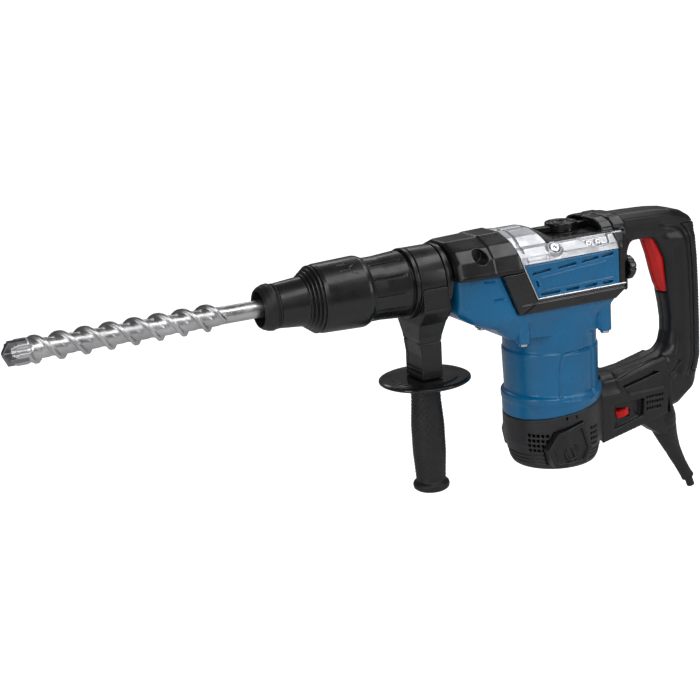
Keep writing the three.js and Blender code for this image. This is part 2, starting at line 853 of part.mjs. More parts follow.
// ---------------------------------------------------------------- motor housing
// Half-space under the slanting seam between the blue housing and the motor cap.
function belowSeam(offset) {
  const tilt = Math.atan2(MOTOR.seamRear - MOTOR.seamFront, 2 * MOTOR.r);
  const geometry = new THREE.BoxGeometry(400, 400, 200);
  geometry.translate(0, 0, -100);
  geometry.rotateY(-tilt);
  geometry.translate(0, 0, (MOTOR.seamFront + MOTOR.seamRear) / 2 + offset);
  return toSolid(geometry);
}

function motorHousing() {
  const profile = roundedOutline(
    [
      [-4.3, -112],
      [-4.3, 62],
      [-64, 62],
      [-84, 44],
      [-84, -44],
      [-66, -56],
      [-57, -70],
      [-51, -86],
      [-46, -100],
      [-34, -112],
    ],
    6,
  );
  const front = [
    [-60, 47],
    [-84, 44],
    [-104, 37],
    [-112, 24],
    [-112, -24],
    [-104, -37],
    [-84, -44],
    [-60, -47],
  ];
  const gearRoom = outline([...front, [44, -47], [56, -40], [62, -28], [62, 28], [56, 40], [44, 47]]);
  const waist = outline([...front, [38, -47], [50, -38.5], [56, -26], [56, 26], [50, 38.5], [38, 47]]);
  const plan = join(slab('z', gearRoom, MOTOR.waist, 0), slab('z', waist, -100, MOTOR.waist));
  const base = slab('y', profile, -60, 60).intersect(plan);
  const barrel = latheZ([
    [-155, 0],
    [-155, MOTOR.r],
    [-137, MOTOR.r],
    [-134.5, 51.6],
    [-129, 51.6],
    [-126.5, MOTOR.r - 0.6],
    [-84, MOTOR.r - 0.6],
    [MOTOR.top, MOTOR.r - 2],
    [MOTOR.top, 0],
  ]);
  const bosses = [
    [-47, -37, -72],
    [45, -32, -75],
  ].flatMap(([x, y, bottom]) => [y, -y].map((side) => bar('z', 7.5, bottom, -45, [x, side], 16)));
  return cut(
    join(base, barrel, ...bosses),
    block(GEARCASE.front - GAP, 80, -70, 70, GEARCASE.split - GAP, 10),
    block(GEARCASE.front - 1, GEARCASE.rear - 3.5, -37.5, 37.5, MOTOR.waist + 3, -20),
    block(GEARCASE.front - 1, 46, -37.5, 37.5, -56, -20),
    bar('x', RING_ROOM, -76, GEARCASE.front, [0, 0], FINE),
    bar('x', BARREL.boreR + 0.5, -120, -75, [0, 0], FINE),
    bar('z', 24.5, -50.5, -4, [BEVEL_SHAFT.x, 0]),
    bar('z', MOTOR.stackR + 0.5, -160, MOTOR.top, [0, 0], FINE),
    bar('z', 12, MOTOR.top - 1, -55),
    belowSeam(0),
    sideSpace(),
  );
}

const BRUSH_OUTLINE = [
  [-24, -165],
  [-30, -186],
  [-26, -199],
  [11, -198],
  [16, -186],
  [9, -160],
];

const brushSpace = () => nearSide(sideOutline(grow(BRUSH_OUTLINE, GAP)), 44, 70);

function motorCap() {
  const cap = latheZ([
    [CAP.bottom, 0],
    [CAP.bottom, CAP.footR],
    [-199, CAP.chamferR - 1],
    [-195, CAP.chamferR],
    [CAP.chamferTop, MOTOR.capR],
    [-125, MOTOR.capR],
    [-125, 46],
    [CAP.chamferTop, 46],
    [-192, 36],
    [-197, 34],
    [-197, 16],
    [-168, 16],
    [-168, 12],
    [-190, 12],
    [-190, 0],
  ]);
  const space = brushSpace();
  const seated = cap.intersect(belowSeam(-GAP));
  const vents = [];
  for (let row = 0; row < 4; row += 1) {
    const slot = block(40, 60, -8, 8, -184 + row * 6, -181.4 + row * 6);
    vents.push(slot.rotate([0, 0, -150]), slot.rotate([0, 0, 150]));
  }
  return cut(seated, space, mirrored(space), ...vents);
}

const brushCover = () => nearSide(sideOutline(BRUSH_OUTLINE), 46.4, 53.5);

// ---------------------------------------------------------------- D-handle
function handleOutline() {
  const shape = new THREE.Shape();
  const at = ([x, z]) => new THREE.Vector2(z, x);
  const spline = (points) => shape.splineThru(points.map(at));
  shape.moveTo(33.2, 57.4);
  spline([[95, 32.4], [123, 31], [140, 28], [152, 23.5], [162, 16], [168, 7.5]]);
  spline([[171.5, -4], [174.5, -24], [176, -50], [176.8, -95], [176.5, -128]]);
  spline([[173, -142], [166.5, -155], [157, -166.5], [146, -175]]);
  spline([[128, -179], [98, -187], [43, -199]]);
  shape.lineTo(-127.5, 43);
  spline([[70, -127.5], [92, -124.8], [112, -122], [127, -118], [135, -110.5]]);
  spline([[138, -98], [138, -86], [136.3, -72], [133.5, -57]]);
  shape.lineTo(-20, 130);
  shape.lineTo(4, 120);
  shape.lineTo(4, 92);
  shape.lineTo(-6, 88);
  shape.lineTo(-36, 86);
  shape.lineTo(-42, GEARCASE.rear + GAP);
  shape.lineTo(24, GEARCASE.rear + GAP);
  shape.lineTo(24, 57.4);
  shape.closePath();
  return shape;
}

// The lever's outline, with its pivot hidden in the top bar.
const TRIGGER_OUTLINE = [
  [92, 6],
  [112, 2],
  [118, -15],
  [122.3, -31.6],
  [126.6, -45.7],
  [130.5, -54],
  [135, -56],
  [138.5, -54],
  [143, -40],
  [141, -8],
  [136, 12],
  [122, 17],
  [94, 15],
];
const TRIGGER_PIVOT = [97, 11];
const TRIGGER_SWING = -8;

const LOCK = { y: -31, z: -16, r: 12, from: 69.5, to: 79 };
const SPEED = { x: 73, y: -11.6, z: -170, r: 9, half: 3.5, tilt: -12 };

const CABLE_PATH = new THREE.CatmullRomCurve3(
  [
    [129, -150],
    [130, -170],
    [133, -192],
    [140, -214],
    [152, -240],
    [163, -264],
    [167, -274],
  ].map(([x, z]) => new THREE.Vector3(x, 0, z)),
);
const BOOT_PATH = new THREE.CatmullRomCurve3(
  [
    [130.2, -172],
    [133, -192],
    [140, -214],
    [152, -240],
    [163, -264],
  ].map(([x, z]) => new THREE.Vector3(x, 0, z)),
);

const powerCable = () => bentBar(CABLE_PATH, () => 4.2, 10, 10);

// Boot radius: a collar under the arm, then a taper.
function bootRadius(along) {
  if (along < 0.14) {
    return 12;
  }
  return along < 0.24 ? 15 : THREE.MathUtils.lerp(12.5, 7, (along - 0.24) / 0.76);
}

const cableBoot = () => cut(bentBar(BOOT_PATH, bootRadius, 16, 12), bentBar(CABLE_PATH, () => 4.6, 8, 10));

const wheelSpace = (radius, half) =>
  bar('z', radius, -half, half).rotate([0, SPEED.tilt, 0]).translate([SPEED.x, SPEED.y, SPEED.z]);

function speedWheel() {
  const ribs = [];
  for (let i = 0; i < 12; i += 1) {
    ribs.push(block(8.4, 10, -0.7, 0.7, -5, 5).rotate([0, 0, i * 30]));
  }
  const wheel = cut(bar('z', SPEED.r, -SPEED.half, SPEED.half), ...ribs);
  return wheel.rotate([0, SPEED.tilt, 0]).translate([SPEED.x, SPEED.y, SPEED.z]);
}

// Grip pad: a strip let into the rear edge of the handle.
const PAD_OUTLINE = [
  [163.5, 2],
  [166.5, -10],
  [169, -30],
  [170.4, -60],
  [171.2, -95],
  [171.2, -124],
  [176.2, -124],
  [176.2, -95],
  [175.4, -60],
  [174, -30],
  [171.5, -10],
  [168.4, 2],
];

const gripPad = () => slab('y', sideOutline(PAD_OUTLINE), -11, 11);

function trigger() {
  return slab('y', sideOutline(TRIGGER_OUTLINE), -TRIGGER.half, TRIGGER.half);
}

// Space that the lever sweeps, from rest to fully pulled.
function triggerSpace() {
  const half = TRIGGER.half + 0.5;
  const lever = slab('y', sideOutline(grow(TRIGGER_OUTLINE, 0.6)), -half, half);
  const [x, z] = TRIGGER_PIVOT;
  const swept = [0.25, 0.5, 0.75, 1].map((share) =>
    lever.translate([-x, 0, -z]).rotate([0, share * TRIGGER_SWING, 0]).translate([x, 0, z]),
  );
  return join(lever, ...swept);
}

const SWITCH = [153, 166, -9, 9, -48, -10];
const ELECTRONICS = [60, 104, -10, 10, -152, -136];
const inflate = (box) => box.map((value, i) => value + (i % 2 === 0 ? -GAP : GAP));

// The handle before it is split into its two shells.
function handleBody() {
  const bow = slab('y', handleOutline(), -HANDLE.half, HANDLE.half);
  const arm = slab(
    'y',
    sideOutline([[47, -196.5], [96, -186], [122, -176], [120, -150], [108, -134], [47, -140]]),
    -HANDLE.armHalf,
    HANDLE.armHalf,
  );
  const rootPlan = outline([
    [GEARCASE.rear + GAP, -HANDLE.rootHalf],
    [70, -40],
    [73.5, -26],
    [78, -18],
    [78, 18],
    [73.5, 26],
    [70, 40],
    [GEARCASE.rear + GAP, HANDLE.rootHalf],
  ]);
  const root = slab('z', rootPlan, -38, 24);
  return cut(
    join(bow, arm, root),
    bar('z', MOTOR.capR + 0.4, -210, -110, [0, 0], FINE),
    triggerSpace(),
    slab('y', sideOutline(grow(PAD_OUTLINE, GAP)), -11.3, 11.3),
    block(...inflate(SWITCH)),
    block(...inflate(ELECTRONICS)),
    bar('x', LOCK.r + 0.4, GEARCASE.rear, 90, [LOCK.y, LOCK.z]),
    wheelSpace(SPEED.r + 1, SPEED.half + 0.6),
    bentBar(CABLE_PATH, () => 4.6, 8, 10),
    bentBar(BOOT_PATH, (along) => bootRadius(along) + 0.4, 16, 12),
    block(118, 146, -16, 16, -168, -156),
  );
}

function lockButton() {
  return latheX(
    [
      [LOCK.from, 0],
      [LOCK.from, LOCK.r],
      [LOCK.to - 3, LOCK.r],
      [LOCK.to, LOCK.r - 4],
      [LOCK.to, 0],
    ],
    COARSE,
  ).translate([0, LOCK.y, LOCK.z]);
}

const handle = handleBody();
const leftSpace = block(0, 250, -80, -GAP / 2, -300, 80);

// ---------------------------------------------------------------- assembly
const PIECES = [
  ['drill_bit', drillBit(), FINISH.steel],
  ['carbide_head', carbideHead(), FINISH.carbide],
  ['dust_cap', dustCap(), FINISH.rubber],
  ['chuck_cone', chuckCone(), FINISH.black],
  ['locking_sleeve', lockingSleeve(), FINISH.black],
  ['sleeve_spring', sleeveSpring(), FINISH.steel],
  ['locking_pin_left', lockingPin(-1), FINISH.steel],
  ['locking_pin_right', lockingPin(1), FINISH.steel],
  ['tool_holder', toolHolder(), FINISH.darkSteel],
  ['hammer_tube', hammerTube(), FINISH.steel],
  ['bevel_ring_gear', bevelRingGear(), FINISH.darkSteel],
  ['impact_bolt', impactBolt(), FINISH.steel],
  ['striker', striker(), FINISH.steel],
  ['piston', piston(), FINISH.magnesium],
  ['wrist_pin', wristPin(), FINISH.steel],
  ['connecting_rod', conrod(), FINISH.magnesium],
  ['crank_gear', crankGear(), FINISH.darkSteel],
  ['compound_gear', compoundGear(), FINISH.darkSteel],
  ['bevel_pinion_shaft', bevelPinionShaft(), FINISH.darkSteel],
  ['tube_bearing', tubeBearing(), FINISH.steel],
  ['armature_shaft', armatureShaft(), FINISH.steel],
  ['armature_core', armatureCore(), FINISH.copper],
  ['commutator', commutator(), FINISH.copper],
  ['cooling_fan', coolingFan(), FINISH.black],
  ['upper_motor_bearing', motorBearing(-62), FINISH.steel],
  ['lower_motor_bearing', motorBearing(-175), FINISH.steel],
  ['stator', stator(), FINISH.darkSteel],
  ['carbon_brush_left', carbonBrush(), FINISH.carbon],
  ['carbon_brush_right', mirrored(carbonBrush()), FINISH.carbon],
  ['barrel_sleeve', barrelSleeve(), FINISH.black],
  ['clamp_band', clampBand(), FINISH.black],
  ['side_handle_bracket', sideHandleBracket(), FINISH.black],
  ['hand_guard', handGuard(), FINISH.black],
  ['side_grip', sideGrip(), FINISH.rubber],
  ['clamp_bolt', clampBolt(), FINISH.steel],
  ['nose_housing', noseHousing(), FINISH.black],
  ['gear_housing', gearHousing(), FINISH.magnesium],
  ['side_cover_left', sideCover(), FINISH.blue],
  ['side_cover_right', mirrored(sideCover()), FINISH.blue],
  ['side_trim_left', sideTrim(), FINISH.black],
  ['side_trim_right', mirrored(sideTrim()), FINISH.black],
  ['top_cover', topCover(), FINISH.black],
  ['mode_knob', modeKnob(), FINISH.black],
  ['cover_screw_left', coverScrew(), FINISH.steel],
  ['cover_screw_right', mirrored(coverScrew()), FINISH.steel],
  ['motor_housing', motorHousing(), FINISH.blue],
  ['motor_cap', motorCap(), FINISH.darkGrey],
  ['brush_cover_left', brushCover(), FINISH.darkGrey],
  ['brush_cover_right', mirrored(brushCover()), FINISH.darkGrey],
  ['handle_shell_left', handle.intersect(leftSpace), FINISH.black],
  ['handle_shell_right', handle.intersect(mirrored(leftSpace)), FINISH.black],
  ['grip_pad', gripPad(), FINISH.rubber],
  ['trigger', trigger(), FINISH.red],
  ['lock_button', lockButton(), FINISH.black],
  ['speed_wheel', speedWheel(), FINISH.red],
  ['cable_boot', cableBoot(), FINISH.rubber],
  ['power_cable', powerCable(), FINISH.rubber],
  ['trigger_switch', block(...SWITCH), FINISH.black],
  ['electronics_module', block(...ELECTRONICS), FINISH.black],
];

const group = new THREE.Group();
group.position.z = SPINDLE_HEIGHT;
PIECES.forEach(([name, solid, finish]) => {
  const mesh = new THREE.Mesh(toGeometry(solid), new THREE.MeshStandardMaterial(finish));
  mesh.name = name;
  group.add(mesh);
});
const hammer = new THREE.Group();
hammer.add(group);

export default hammer;
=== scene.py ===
"""Looks for a rotary demolition hammer with a fluted drill bit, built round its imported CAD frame.

Shapes are worked out in millimetres in the tool's own axes: x runs along the spindle with the bit at -x,
y runs across the tool and z is up, with z = 0 on the spindle axis and x = 0 on the motor axis.
"""
import functools
import json
import math

import bpy
import numpy as np
from mathutils import Matrix, Vector


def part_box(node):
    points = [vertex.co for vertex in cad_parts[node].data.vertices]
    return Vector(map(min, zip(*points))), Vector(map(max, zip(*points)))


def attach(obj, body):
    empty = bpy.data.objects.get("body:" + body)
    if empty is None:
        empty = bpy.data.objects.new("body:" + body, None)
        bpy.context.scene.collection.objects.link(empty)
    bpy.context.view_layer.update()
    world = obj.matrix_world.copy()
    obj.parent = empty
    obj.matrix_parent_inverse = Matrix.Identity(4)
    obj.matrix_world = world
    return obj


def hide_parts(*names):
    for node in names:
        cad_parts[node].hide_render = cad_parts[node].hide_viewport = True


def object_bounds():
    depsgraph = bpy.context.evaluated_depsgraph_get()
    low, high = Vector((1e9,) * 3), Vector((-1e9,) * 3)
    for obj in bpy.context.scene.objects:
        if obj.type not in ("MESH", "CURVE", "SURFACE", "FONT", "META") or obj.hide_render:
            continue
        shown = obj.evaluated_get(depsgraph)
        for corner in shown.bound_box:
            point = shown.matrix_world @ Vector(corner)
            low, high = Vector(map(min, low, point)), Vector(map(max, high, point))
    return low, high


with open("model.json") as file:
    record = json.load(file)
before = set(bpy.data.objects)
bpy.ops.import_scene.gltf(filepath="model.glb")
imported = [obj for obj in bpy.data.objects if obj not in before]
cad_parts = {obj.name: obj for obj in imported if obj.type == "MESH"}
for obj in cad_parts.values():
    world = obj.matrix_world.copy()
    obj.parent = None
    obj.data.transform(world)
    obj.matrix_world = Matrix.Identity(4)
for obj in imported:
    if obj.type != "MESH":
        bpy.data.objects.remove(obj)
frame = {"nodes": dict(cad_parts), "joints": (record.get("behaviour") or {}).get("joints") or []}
CAD_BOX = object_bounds()
JOINTS = {joint["name"]: joint for joint in frame["joints"]}
MM = 0.001
ORIGIN = np.array([JOINTS["armature_spin"]["pos_m"][0], 0.0, JOINTS["spindle_spin"]["pos_m"][2]])


def span(node):
    """Lowest and highest corner of a CAD node, in millimetres in the tool's axes."""
    low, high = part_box(node)
    return (np.array(low) - ORIGIN) / MM, (np.array(high) - ORIGIN) / MM


def joint_place(name):
    """A joint's position in millimetres in the tool's axes."""
    return (np.array(JOINTS[name]["pos_m"]) - ORIGIN) / MM


# ------------------------------------------------------------------ meshes
def placed(name, data):
    """New object in the scene."""
    item = bpy.data.objects.new(name, data)
    bpy.context.scene.collection.objects.link(item)
    return item


def add_piece(name, points, faces, body, slot, material):
    """Makes a smooth mesh object from points in millimetres, riding on a body.

    It stands in for the CAD node of the same name, if there is one.
    """
    mesh = bpy.data.meshes.new(name)
    world = np.asarray(points, float) * MM + ORIGIN
    mesh.from_pydata(world.tolist(), [], [list(face) for face in faces])
    mesh.validate()
    mesh.polygons.foreach_set("use_smooth", [True] * len(mesh.polygons))
    mesh.materials.append(material)
    piece = placed(name, mesh)
    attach(piece, body)
    if name in frame["nodes"]:
        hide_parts(name)


NEARLY_FOLDED, NEARLY_STRAIGHT = 0.05, 1.53


def rounded(points, radius, closed=True, steps=5):
    """Polyline whose corners are arcs of up to the given radius."""
    points = np.asarray(points, float)
    count = len(points)
    result = []
    for i, corner in enumerate(points):
        if not closed and i in (0, count - 1):
            result.append(corner)
            continue
        before, after = points[i - 1] - corner, points[(i + 1) % count] - corner
        long_before, long_after = np.linalg.norm(before), np.linalg.norm(after)
        if long_before < 1e-6 or long_after < 1e-6:
            continue
        before, after = before / long_before, after / long_after
        half = math.acos(max(-1.0, min(1.0, float(before @ after)))) / 2
        if half > NEARLY_STRAIGHT or half < NEARLY_FOLDED:
            result.append(corner)
            continue
        reach = min(radius / math.tan(half), 0.48 * long_before, 0.48 * long_after)
        start, end = corner + before * reach, corner + after * reach
        for k in range(steps + 1):
            t = k / steps
            result.append((1 - t) ** 2 * start + 2 * t * (1 - t) * corner + t * t * end)
    return np.array(result)


def resample(points, step, closed):
    """Adds points to a polyline so that no stretch is longer than the step."""
    points = list(points)
    if closed:
        points.append(points[0])
    result = []
    for start, end in zip(points[:-1], points[1:]):
        pieces = max(1, math.ceil(np.linalg.norm(np.subtract(end, start)) / step))
        result.extend(np.array(start) + (np.array(end) - start) * k / pieces for k in range(pieces))
    if not closed:
        result.append(np.array(points[-1]))
    return np.array(result)


def turned(profile, axis="x", centre=(0, 0), radius=0.5, segments=128, step=None, relief=None):
    """Points and faces of a turned part from [along, radius] points.

    relief(along, r, angle) gives the radius after ribs or grooves. A profile that starts on the axis is
    open and ends on the axis; any other closes on itself.
    """
    closed = profile[0][1] > 0
    line = rounded(profile, radius, closed)
    if step:
        line = resample(line, step, closed)
    angles = np.linspace(0, 2 * np.pi, segments, endpoint=False)
    along = np.repeat(line[:, :1], segments, axis=1)
    radii = np.repeat(line[:, 1:], segments, axis=1)
    if relief:
        radii = relief(along, radii, angles[None, :])
    flat = [radii * np.cos(angles), radii * np.sin(angles)]
    if axis == "x":
        grid = np.stack([along, flat[0] + centre[0], flat[1] + centre[1]], axis=-1)
    elif axis == "y":
        grid = np.stack([flat[0] + centre[0], along, flat[1] + centre[1]], axis=-1)
    else:
        grid = np.stack([flat[0] + centre[0], flat[1] + centre[1], along], axis=-1)
    rows = len(line)
    index = np.arange(rows * segments).reshape(rows, segments)
    if not closed:
        index[0, :] = index[0, 0]
        index[-1, :] = index[-1, 0]
    faces = []
    last = rows if closed else rows - 1
    for row in range(last):
        lower, upper = index[row], index[(row + 1) % rows]
        quads = np.stack([lower, np.roll(lower, -1), np.roll(upper, -1), upper], axis=1)
        faces.extend(list(dict.fromkeys(quad)) for quad in quads.tolist())
    faces = [face for face in faces if len(face) > 2]
    return facing_out(grid.reshape(-1, 3), faces)


def add_turned(name, body, slot, material, profile, **options):
    """Adds a turned part as a piece."""
    add_piece(name, *turned(profile, **options), body, slot, material)


def facing_out(points, faces):
    """Turns every face round if the closed mesh is inside out, and drops unused points."""
    used = sorted({i for face in faces for i in face})
    renumber = dict(zip(used, range(len(used))))
    points = points[used]
    faces = [[renumber[i] for i in face] for face in faces]
    fans = np.array([(face[0], face[k], face[k + 1]) for face in faces for k in range(1, len(face) - 1)])
    a, b, c = points[fans[:, 0]], points[fans[:, 1]], points[fans[:, 2]]
    if np.einsum("ij,ij->i", a, np.cross(b, c)).sum() < 0:
        faces = [face[::-1] for face in faces]
    return points, faces


def capped(grid):
    """Closed mesh from rings of points, with a fan over each end."""
    rows, segments = grid.shape[:2]
    points = np.concatenate([grid.reshape(-1, 3), grid[0].mean(0)[None], grid[-1].mean(0)[None]])
    index = np.arange(rows * segments).reshape(rows, segments)
    lower, upper = index[:-1], index[1:]
    quads = np.stack([lower, np.roll(lower, -1, 1), np.roll(upper, -1, 1), upper], axis=-1)
    faces = quads.reshape(-1, 4).tolist()
    start, end = rows * segments, rows * segments + 1
    faces.extend([int(b), int(a), start] for a, b in zip(index[0], np.roll(index[0], -1)))
    faces.extend([int(a), int(b), end] for a, b in zip(index[-1], np.roll(index[-1], -1)))
    return facing_out(points, faces)


def swept(path, radius_at, segments=32, steps=80):
    """Round bar along a smooth curve through (x, z) points in the tool's middle plane."""
    path = np.asarray(path, float)
    knots = np.concatenate([[0], np.cumsum(np.linalg.norm(np.diff(path, axis=0), axis=1))])
    knots /= knots[-1]
    t = np.linspace(0, 1, steps + 1)
    line = np.stack([natural_spline(knots, path[:, k], t) for k in range(2)], axis=1)
    tangent = np.gradient(line, axis=0)
    tangent /= np.linalg.norm(tangent, axis=1)[:, None]
    angles = np.linspace(0, 2 * np.pi, segments, endpoint=False)
    radii = np.array([radius_at(value) for value in t])[:, None]
    side = radii * np.sin(angles)
    out = radii * np.cos(angles)
    grid = np.stack(
        [line[:, :1] - tangent[:, 1:] * out, side, line[:, 1:] + tangent[:, :1] * out], axis=-1
    )
    return capped(grid)


def natural_spline(knots, values, at):
    """Natural cubic spline through the values."""
    count = len(knots)
    h = np.diff(knots)
    system = np.eye(count)
    right = np.zeros(count)
    for i in range(1, count - 1):
        system[i, i - 1 : i + 2] = h[i - 1], 2 * (h[i - 1] + h[i]), h[i]
        right[i] = 3 * ((values[i + 1] - values[i]) / h[i] - (values[i] - values[i - 1]) / h[i - 1])
    bend = np.linalg.solve(system, right)
    i = np.clip(np.searchsorted(knots, at) - 1, 0, count - 2)
    slope = (values[i + 1] - values[i]) / h[i] - h[i] * (2 * bend[i] + bend[i + 1]) / 3
    t = at - knots[i]
    return values[i] + slope * t + bend[i] * t**2 + (bend[i + 1] - bend[i]) / (3 * h[i]) * t**3


# ------------------------------------------------------------------ solids as distance fields
# A field holds the signed distance to a surface, negative inside. Axis values are kept as thin arrays,
# so that a flat outline costs one plane of the grid.
class Space:
    """A regular grid over a box, in millimetres."""

    def __init__(self, low, high, cell):
        counts = [int(math.ceil((b - a) / cell)) + 1 for a, b in zip(low, high)]
        self.low = np.array(low, float)
        self.cell = cell
        self.shape = tuple(counts)
        lines = [a + cell * np.arange(n) for a, n in zip(low, counts)]
        self.x = lines[0][:, None, None].astype(np.float32)
        self.y = lines[1][None, :, None].astype(np.float32)
        self.z = lines[2][None, None, :].astype(np.float32)
        self.axes = self.x, self.y, self.z


def box_space(node, cell, margin=2.0):
    """Grid over a CAD node's box, with a margin."""
    low, high = span(node)
    return Space(low - margin, high + margin, cell)


def outline(u, v, points):
    """Distance to a closed outline in the (u, v) plane."""
    points = np.asarray(points, np.float32)
    best, inside = None, None
    for a, b in zip(points, np.roll(points, -1, axis=0)):
        edge = b - a
        du, dv = u - a[0], v - a[1]
        t = np.clip((du * edge[0] + dv * edge[1]) / max(float(edge @ edge), 1e-9), 0, 1)
        gap = (du - t * edge[0]) ** 2 + (dv - t * edge[1]) ** 2
        best = gap if best is None else np.minimum(best, gap)
        if a[1] != b[1]:
            crosses = ((a[1] <= v) != (b[1] <= v)) & (du < dv * edge[0] / edge[1])
            inside = crosses if inside is None else inside ^ crosses
    return np.where(inside, -1, 1) * np.sqrt(best)


def near_line(u, v, points):
    """Distance to an open polyline in the (u, v) plane."""
    best = None
    for a, b in zip(points[:-1], points[1:]):
        edge = b - a
        t = np.clip(((u - a[0]) * edge[0] + (v - a[1]) * edge[1]) / float(edge @ edge), 0, 1)
        gap = (u - a[0] - t * edge[0]) ** 2 + (v - a[1] - t * edge[1]) ** 2
        best = gap if best is None else np.minimum(best, gap)
    return np.sqrt(best)


def between(v, low, high):
    """Distance to a slab between two values."""
    return np.abs(v - (low + high) / 2) - (high - low) / 2


def disc(u, v, centre, radius):
    """Distance to a circle in the (u, v) plane."""
    return np.hypot(u - centre[0], v - centre[1]) - radius


def all_of(*parts):
    """Intersection of several fields, with sharp edges."""
    return functools.reduce(np.maximum, parts)


def any_of(parts):
    """Union of several fields, with sharp edges."""
    return functools.reduce(np.minimum, parts)


def meet(a, b, radius=0.0):
    """Intersection, with its edge rounded over to the radius."""
    if np.ndim(radius) == 0 and radius <= 0:
        return np.maximum(a, b)
    over = np.hypot(np.maximum(a + radius, 0), np.maximum(b + radius, 0))
    return np.minimum(np.maximum(a, b), -radius) + over


def unite(a, b, radius=0.0):
    """Union, with a fillet of the radius."""
    return -meet(-a, -b, radius)


def carve(a, b, radius=0.0):
    """a with b taken away."""
    return meet(a, -b, radius)


def score(field, mark, depth, radius=0.3):
    """Sinks the surface by the depth wherever the mark is negative."""
    return carve(field, all_of(mark, -field - depth), radius)


def surface(space, field):
    """Points and quads of the field's zero surface, pulled onto it."""
    field = np.ascontiguousarray(np.broadcast_to(field, space.shape), dtype=np.float32).copy()
    for axis in range(3):
        edge = [slice(None)] * 3
        for end in (0, -1):
            edge[axis] = end
            field[tuple(edge)] = np.maximum(field[tuple(edge)], 0.5 * space.cell)
    inside = field < 0
    count = np.zeros(tuple(n - 1 for n in space.shape), np.int8)
    corners = [(i, j, k) for i in (0, 1) for j in (0, 1) for k in (0, 1)]
    for i, j, k in corners:
        count += inside[i : i + count.shape[0], j : j + count.shape[1], k : k + count.shape[2]]
    cells = np.argwhere((count > 0) & (count < 8))
    number = np.full(count.shape, -1, np.int64)
    number[tuple(cells.T)] = np.arange(len(cells))
    total, hits = np.zeros((len(cells), 3)), np.zeros(len(cells))
    for corner in corners:
        for axis in range(3):
            if corner[axis]:
                continue
            start = cells + corner
            end = start.copy()
            end[:, axis] += 1
            f0, f1 = field[tuple(start.T)], field[tuple(end.T)]
            crossing = (f0 < 0) != (f1 < 0)
            share = np.where(crossing, f0 / np.where(crossing, f0 - f1, 1), 0)
            place = start.astype(float)
            place[:, axis] += share
            total += place * crossing[:, None]
            hits += crossing
    places = total / hits[:, None]
    for _ in range(2):
        value, slope = sample(field, places)
        step = (value / np.maximum((slope**2).sum(1), 0.1))[:, None] * slope
        places -= np.clip(step, -0.5, 0.5)
    return places * space.cell + space.low, cell_quads(inside, number)


def cell_quads(inside, number):
    """Quads that join the surface cells round every grid edge the surface crosses."""
    quads = []
    for axis in range(3):
        near, far = [slice(None)] * 3, [slice(None)] * 3
        near[axis], far[axis] = slice(None, -1), slice(1, None)
        changes = np.argwhere(inside[tuple(near)] != inside[tuple(far)])
        a, b = (axis + 1) % 3, (axis + 2) % 3
        ring = []
        for da, db in ((0, 0), (-1, 0), (-1, -1), (0, -1)):
            cell = changes.copy()
            cell[:, a] += da
            cell[:, b] += db
            ring.append(number[tuple(cell.T)])
        ring = np.stack(ring, axis=1)
        flip = ~inside[tuple(changes.T)]
        ring[flip] = ring[flip][:, ::-1]
        quads.append(ring)
    return np.concatenate(quads)


def sample(field, places):
    """Value and slope of the field, in cells, at places between grid points."""
    base = np.clip(np.floor(places).astype(int), 0, np.array(field.shape) - 2)
    t = places - base
    value, slope = np.zeros(len(places)), np.zeros((len(places), 3))
    for i in (0, 1):
        for j in (0, 1):
            for k in (0, 1):
                corner = field[base[:, 0] + i, base[:, 1] + j, base[:, 2] + k]
                weights = [t[:, n] if side else 1 - t[:, n] for n, side in enumerate((i, j, k))]
                value += corner * weights[0] * weights[1] * weights[2]
                for n, side in enumerate((i, j, k)):
                    others = [weights[m] for m in range(3) if m != n]
                    slope[:, n] += corner * (1 if side else -1) * others[0] * others[1]
    return value, slope


def add_field(name, space, field, body, slot, material):
    """Adds the surface of a distance field as a piece."""
    points, quads = surface(space, field)
    add_piece(name, points, quads.tolist(), body, slot, material)


# ------------------------------------------------------------------ materials
def link(tree, source, target):
    """Joins two sockets of a node tree."""
    tree.links.new(source, target)


def add_node(tree, kind, **values):
    """New shader node with some of its inputs set."""
    node = tree.nodes.new("ShaderNode" + kind)
    for name, value in values.items():
        node.inputs[name].default_value = value
    return node


def textured(name, colour, roughness, metallic=0.0, coat=0.0):
    """New material: its node tree and its principled shader."""
    material = bpy.data.materials.new(name)
    material.use_nodes = True
    tree = material.node_tree
    shader = tree.nodes["Principled BSDF"]
    shader.inputs["Base Color"].default_value = (*colour, 1)
    shader.inputs["Roughness"].default_value = roughness
    shader.inputs["Metallic"].default_value = metallic
    shader.inputs["Coat Weight"].default_value = coat
    return material, tree, shader


def noise(tree, per_metre, detail=2.0, stretch=(1, 1, 1)):
    """Noise fixed to the piece, with a number of features per metre."""
    place = add_node(tree, "TexCoord")
    mapping = add_node(tree, "Mapping", Scale=stretch)
    pattern = add_node(tree, "TexNoise", Scale=per_metre, Detail=detail)
    link(tree, place.outputs["Object"], mapping.inputs["Vector"])
    link(tree, mapping.outputs["Vector"], pattern.inputs["Vector"])
    return pattern.outputs["Fac"]


def ramp(tree, source, low, high):
    """Maps a value between two stops, each (position, colour or number)."""
    node = add_node(tree, "ValToRGB")
    for element, (place, value) in zip(node.color_ramp.elements, (low, high)):
        element.position = place
        element.color = (*value, 1) if isinstance(value, tuple) else (value, value, value, 1)
    link(tree, source, node.inputs["Fac"])
    return node.outputs["Color"]


COLOUR_A, COLOUR_B, COLOUR_OUT = 6, 7, 2


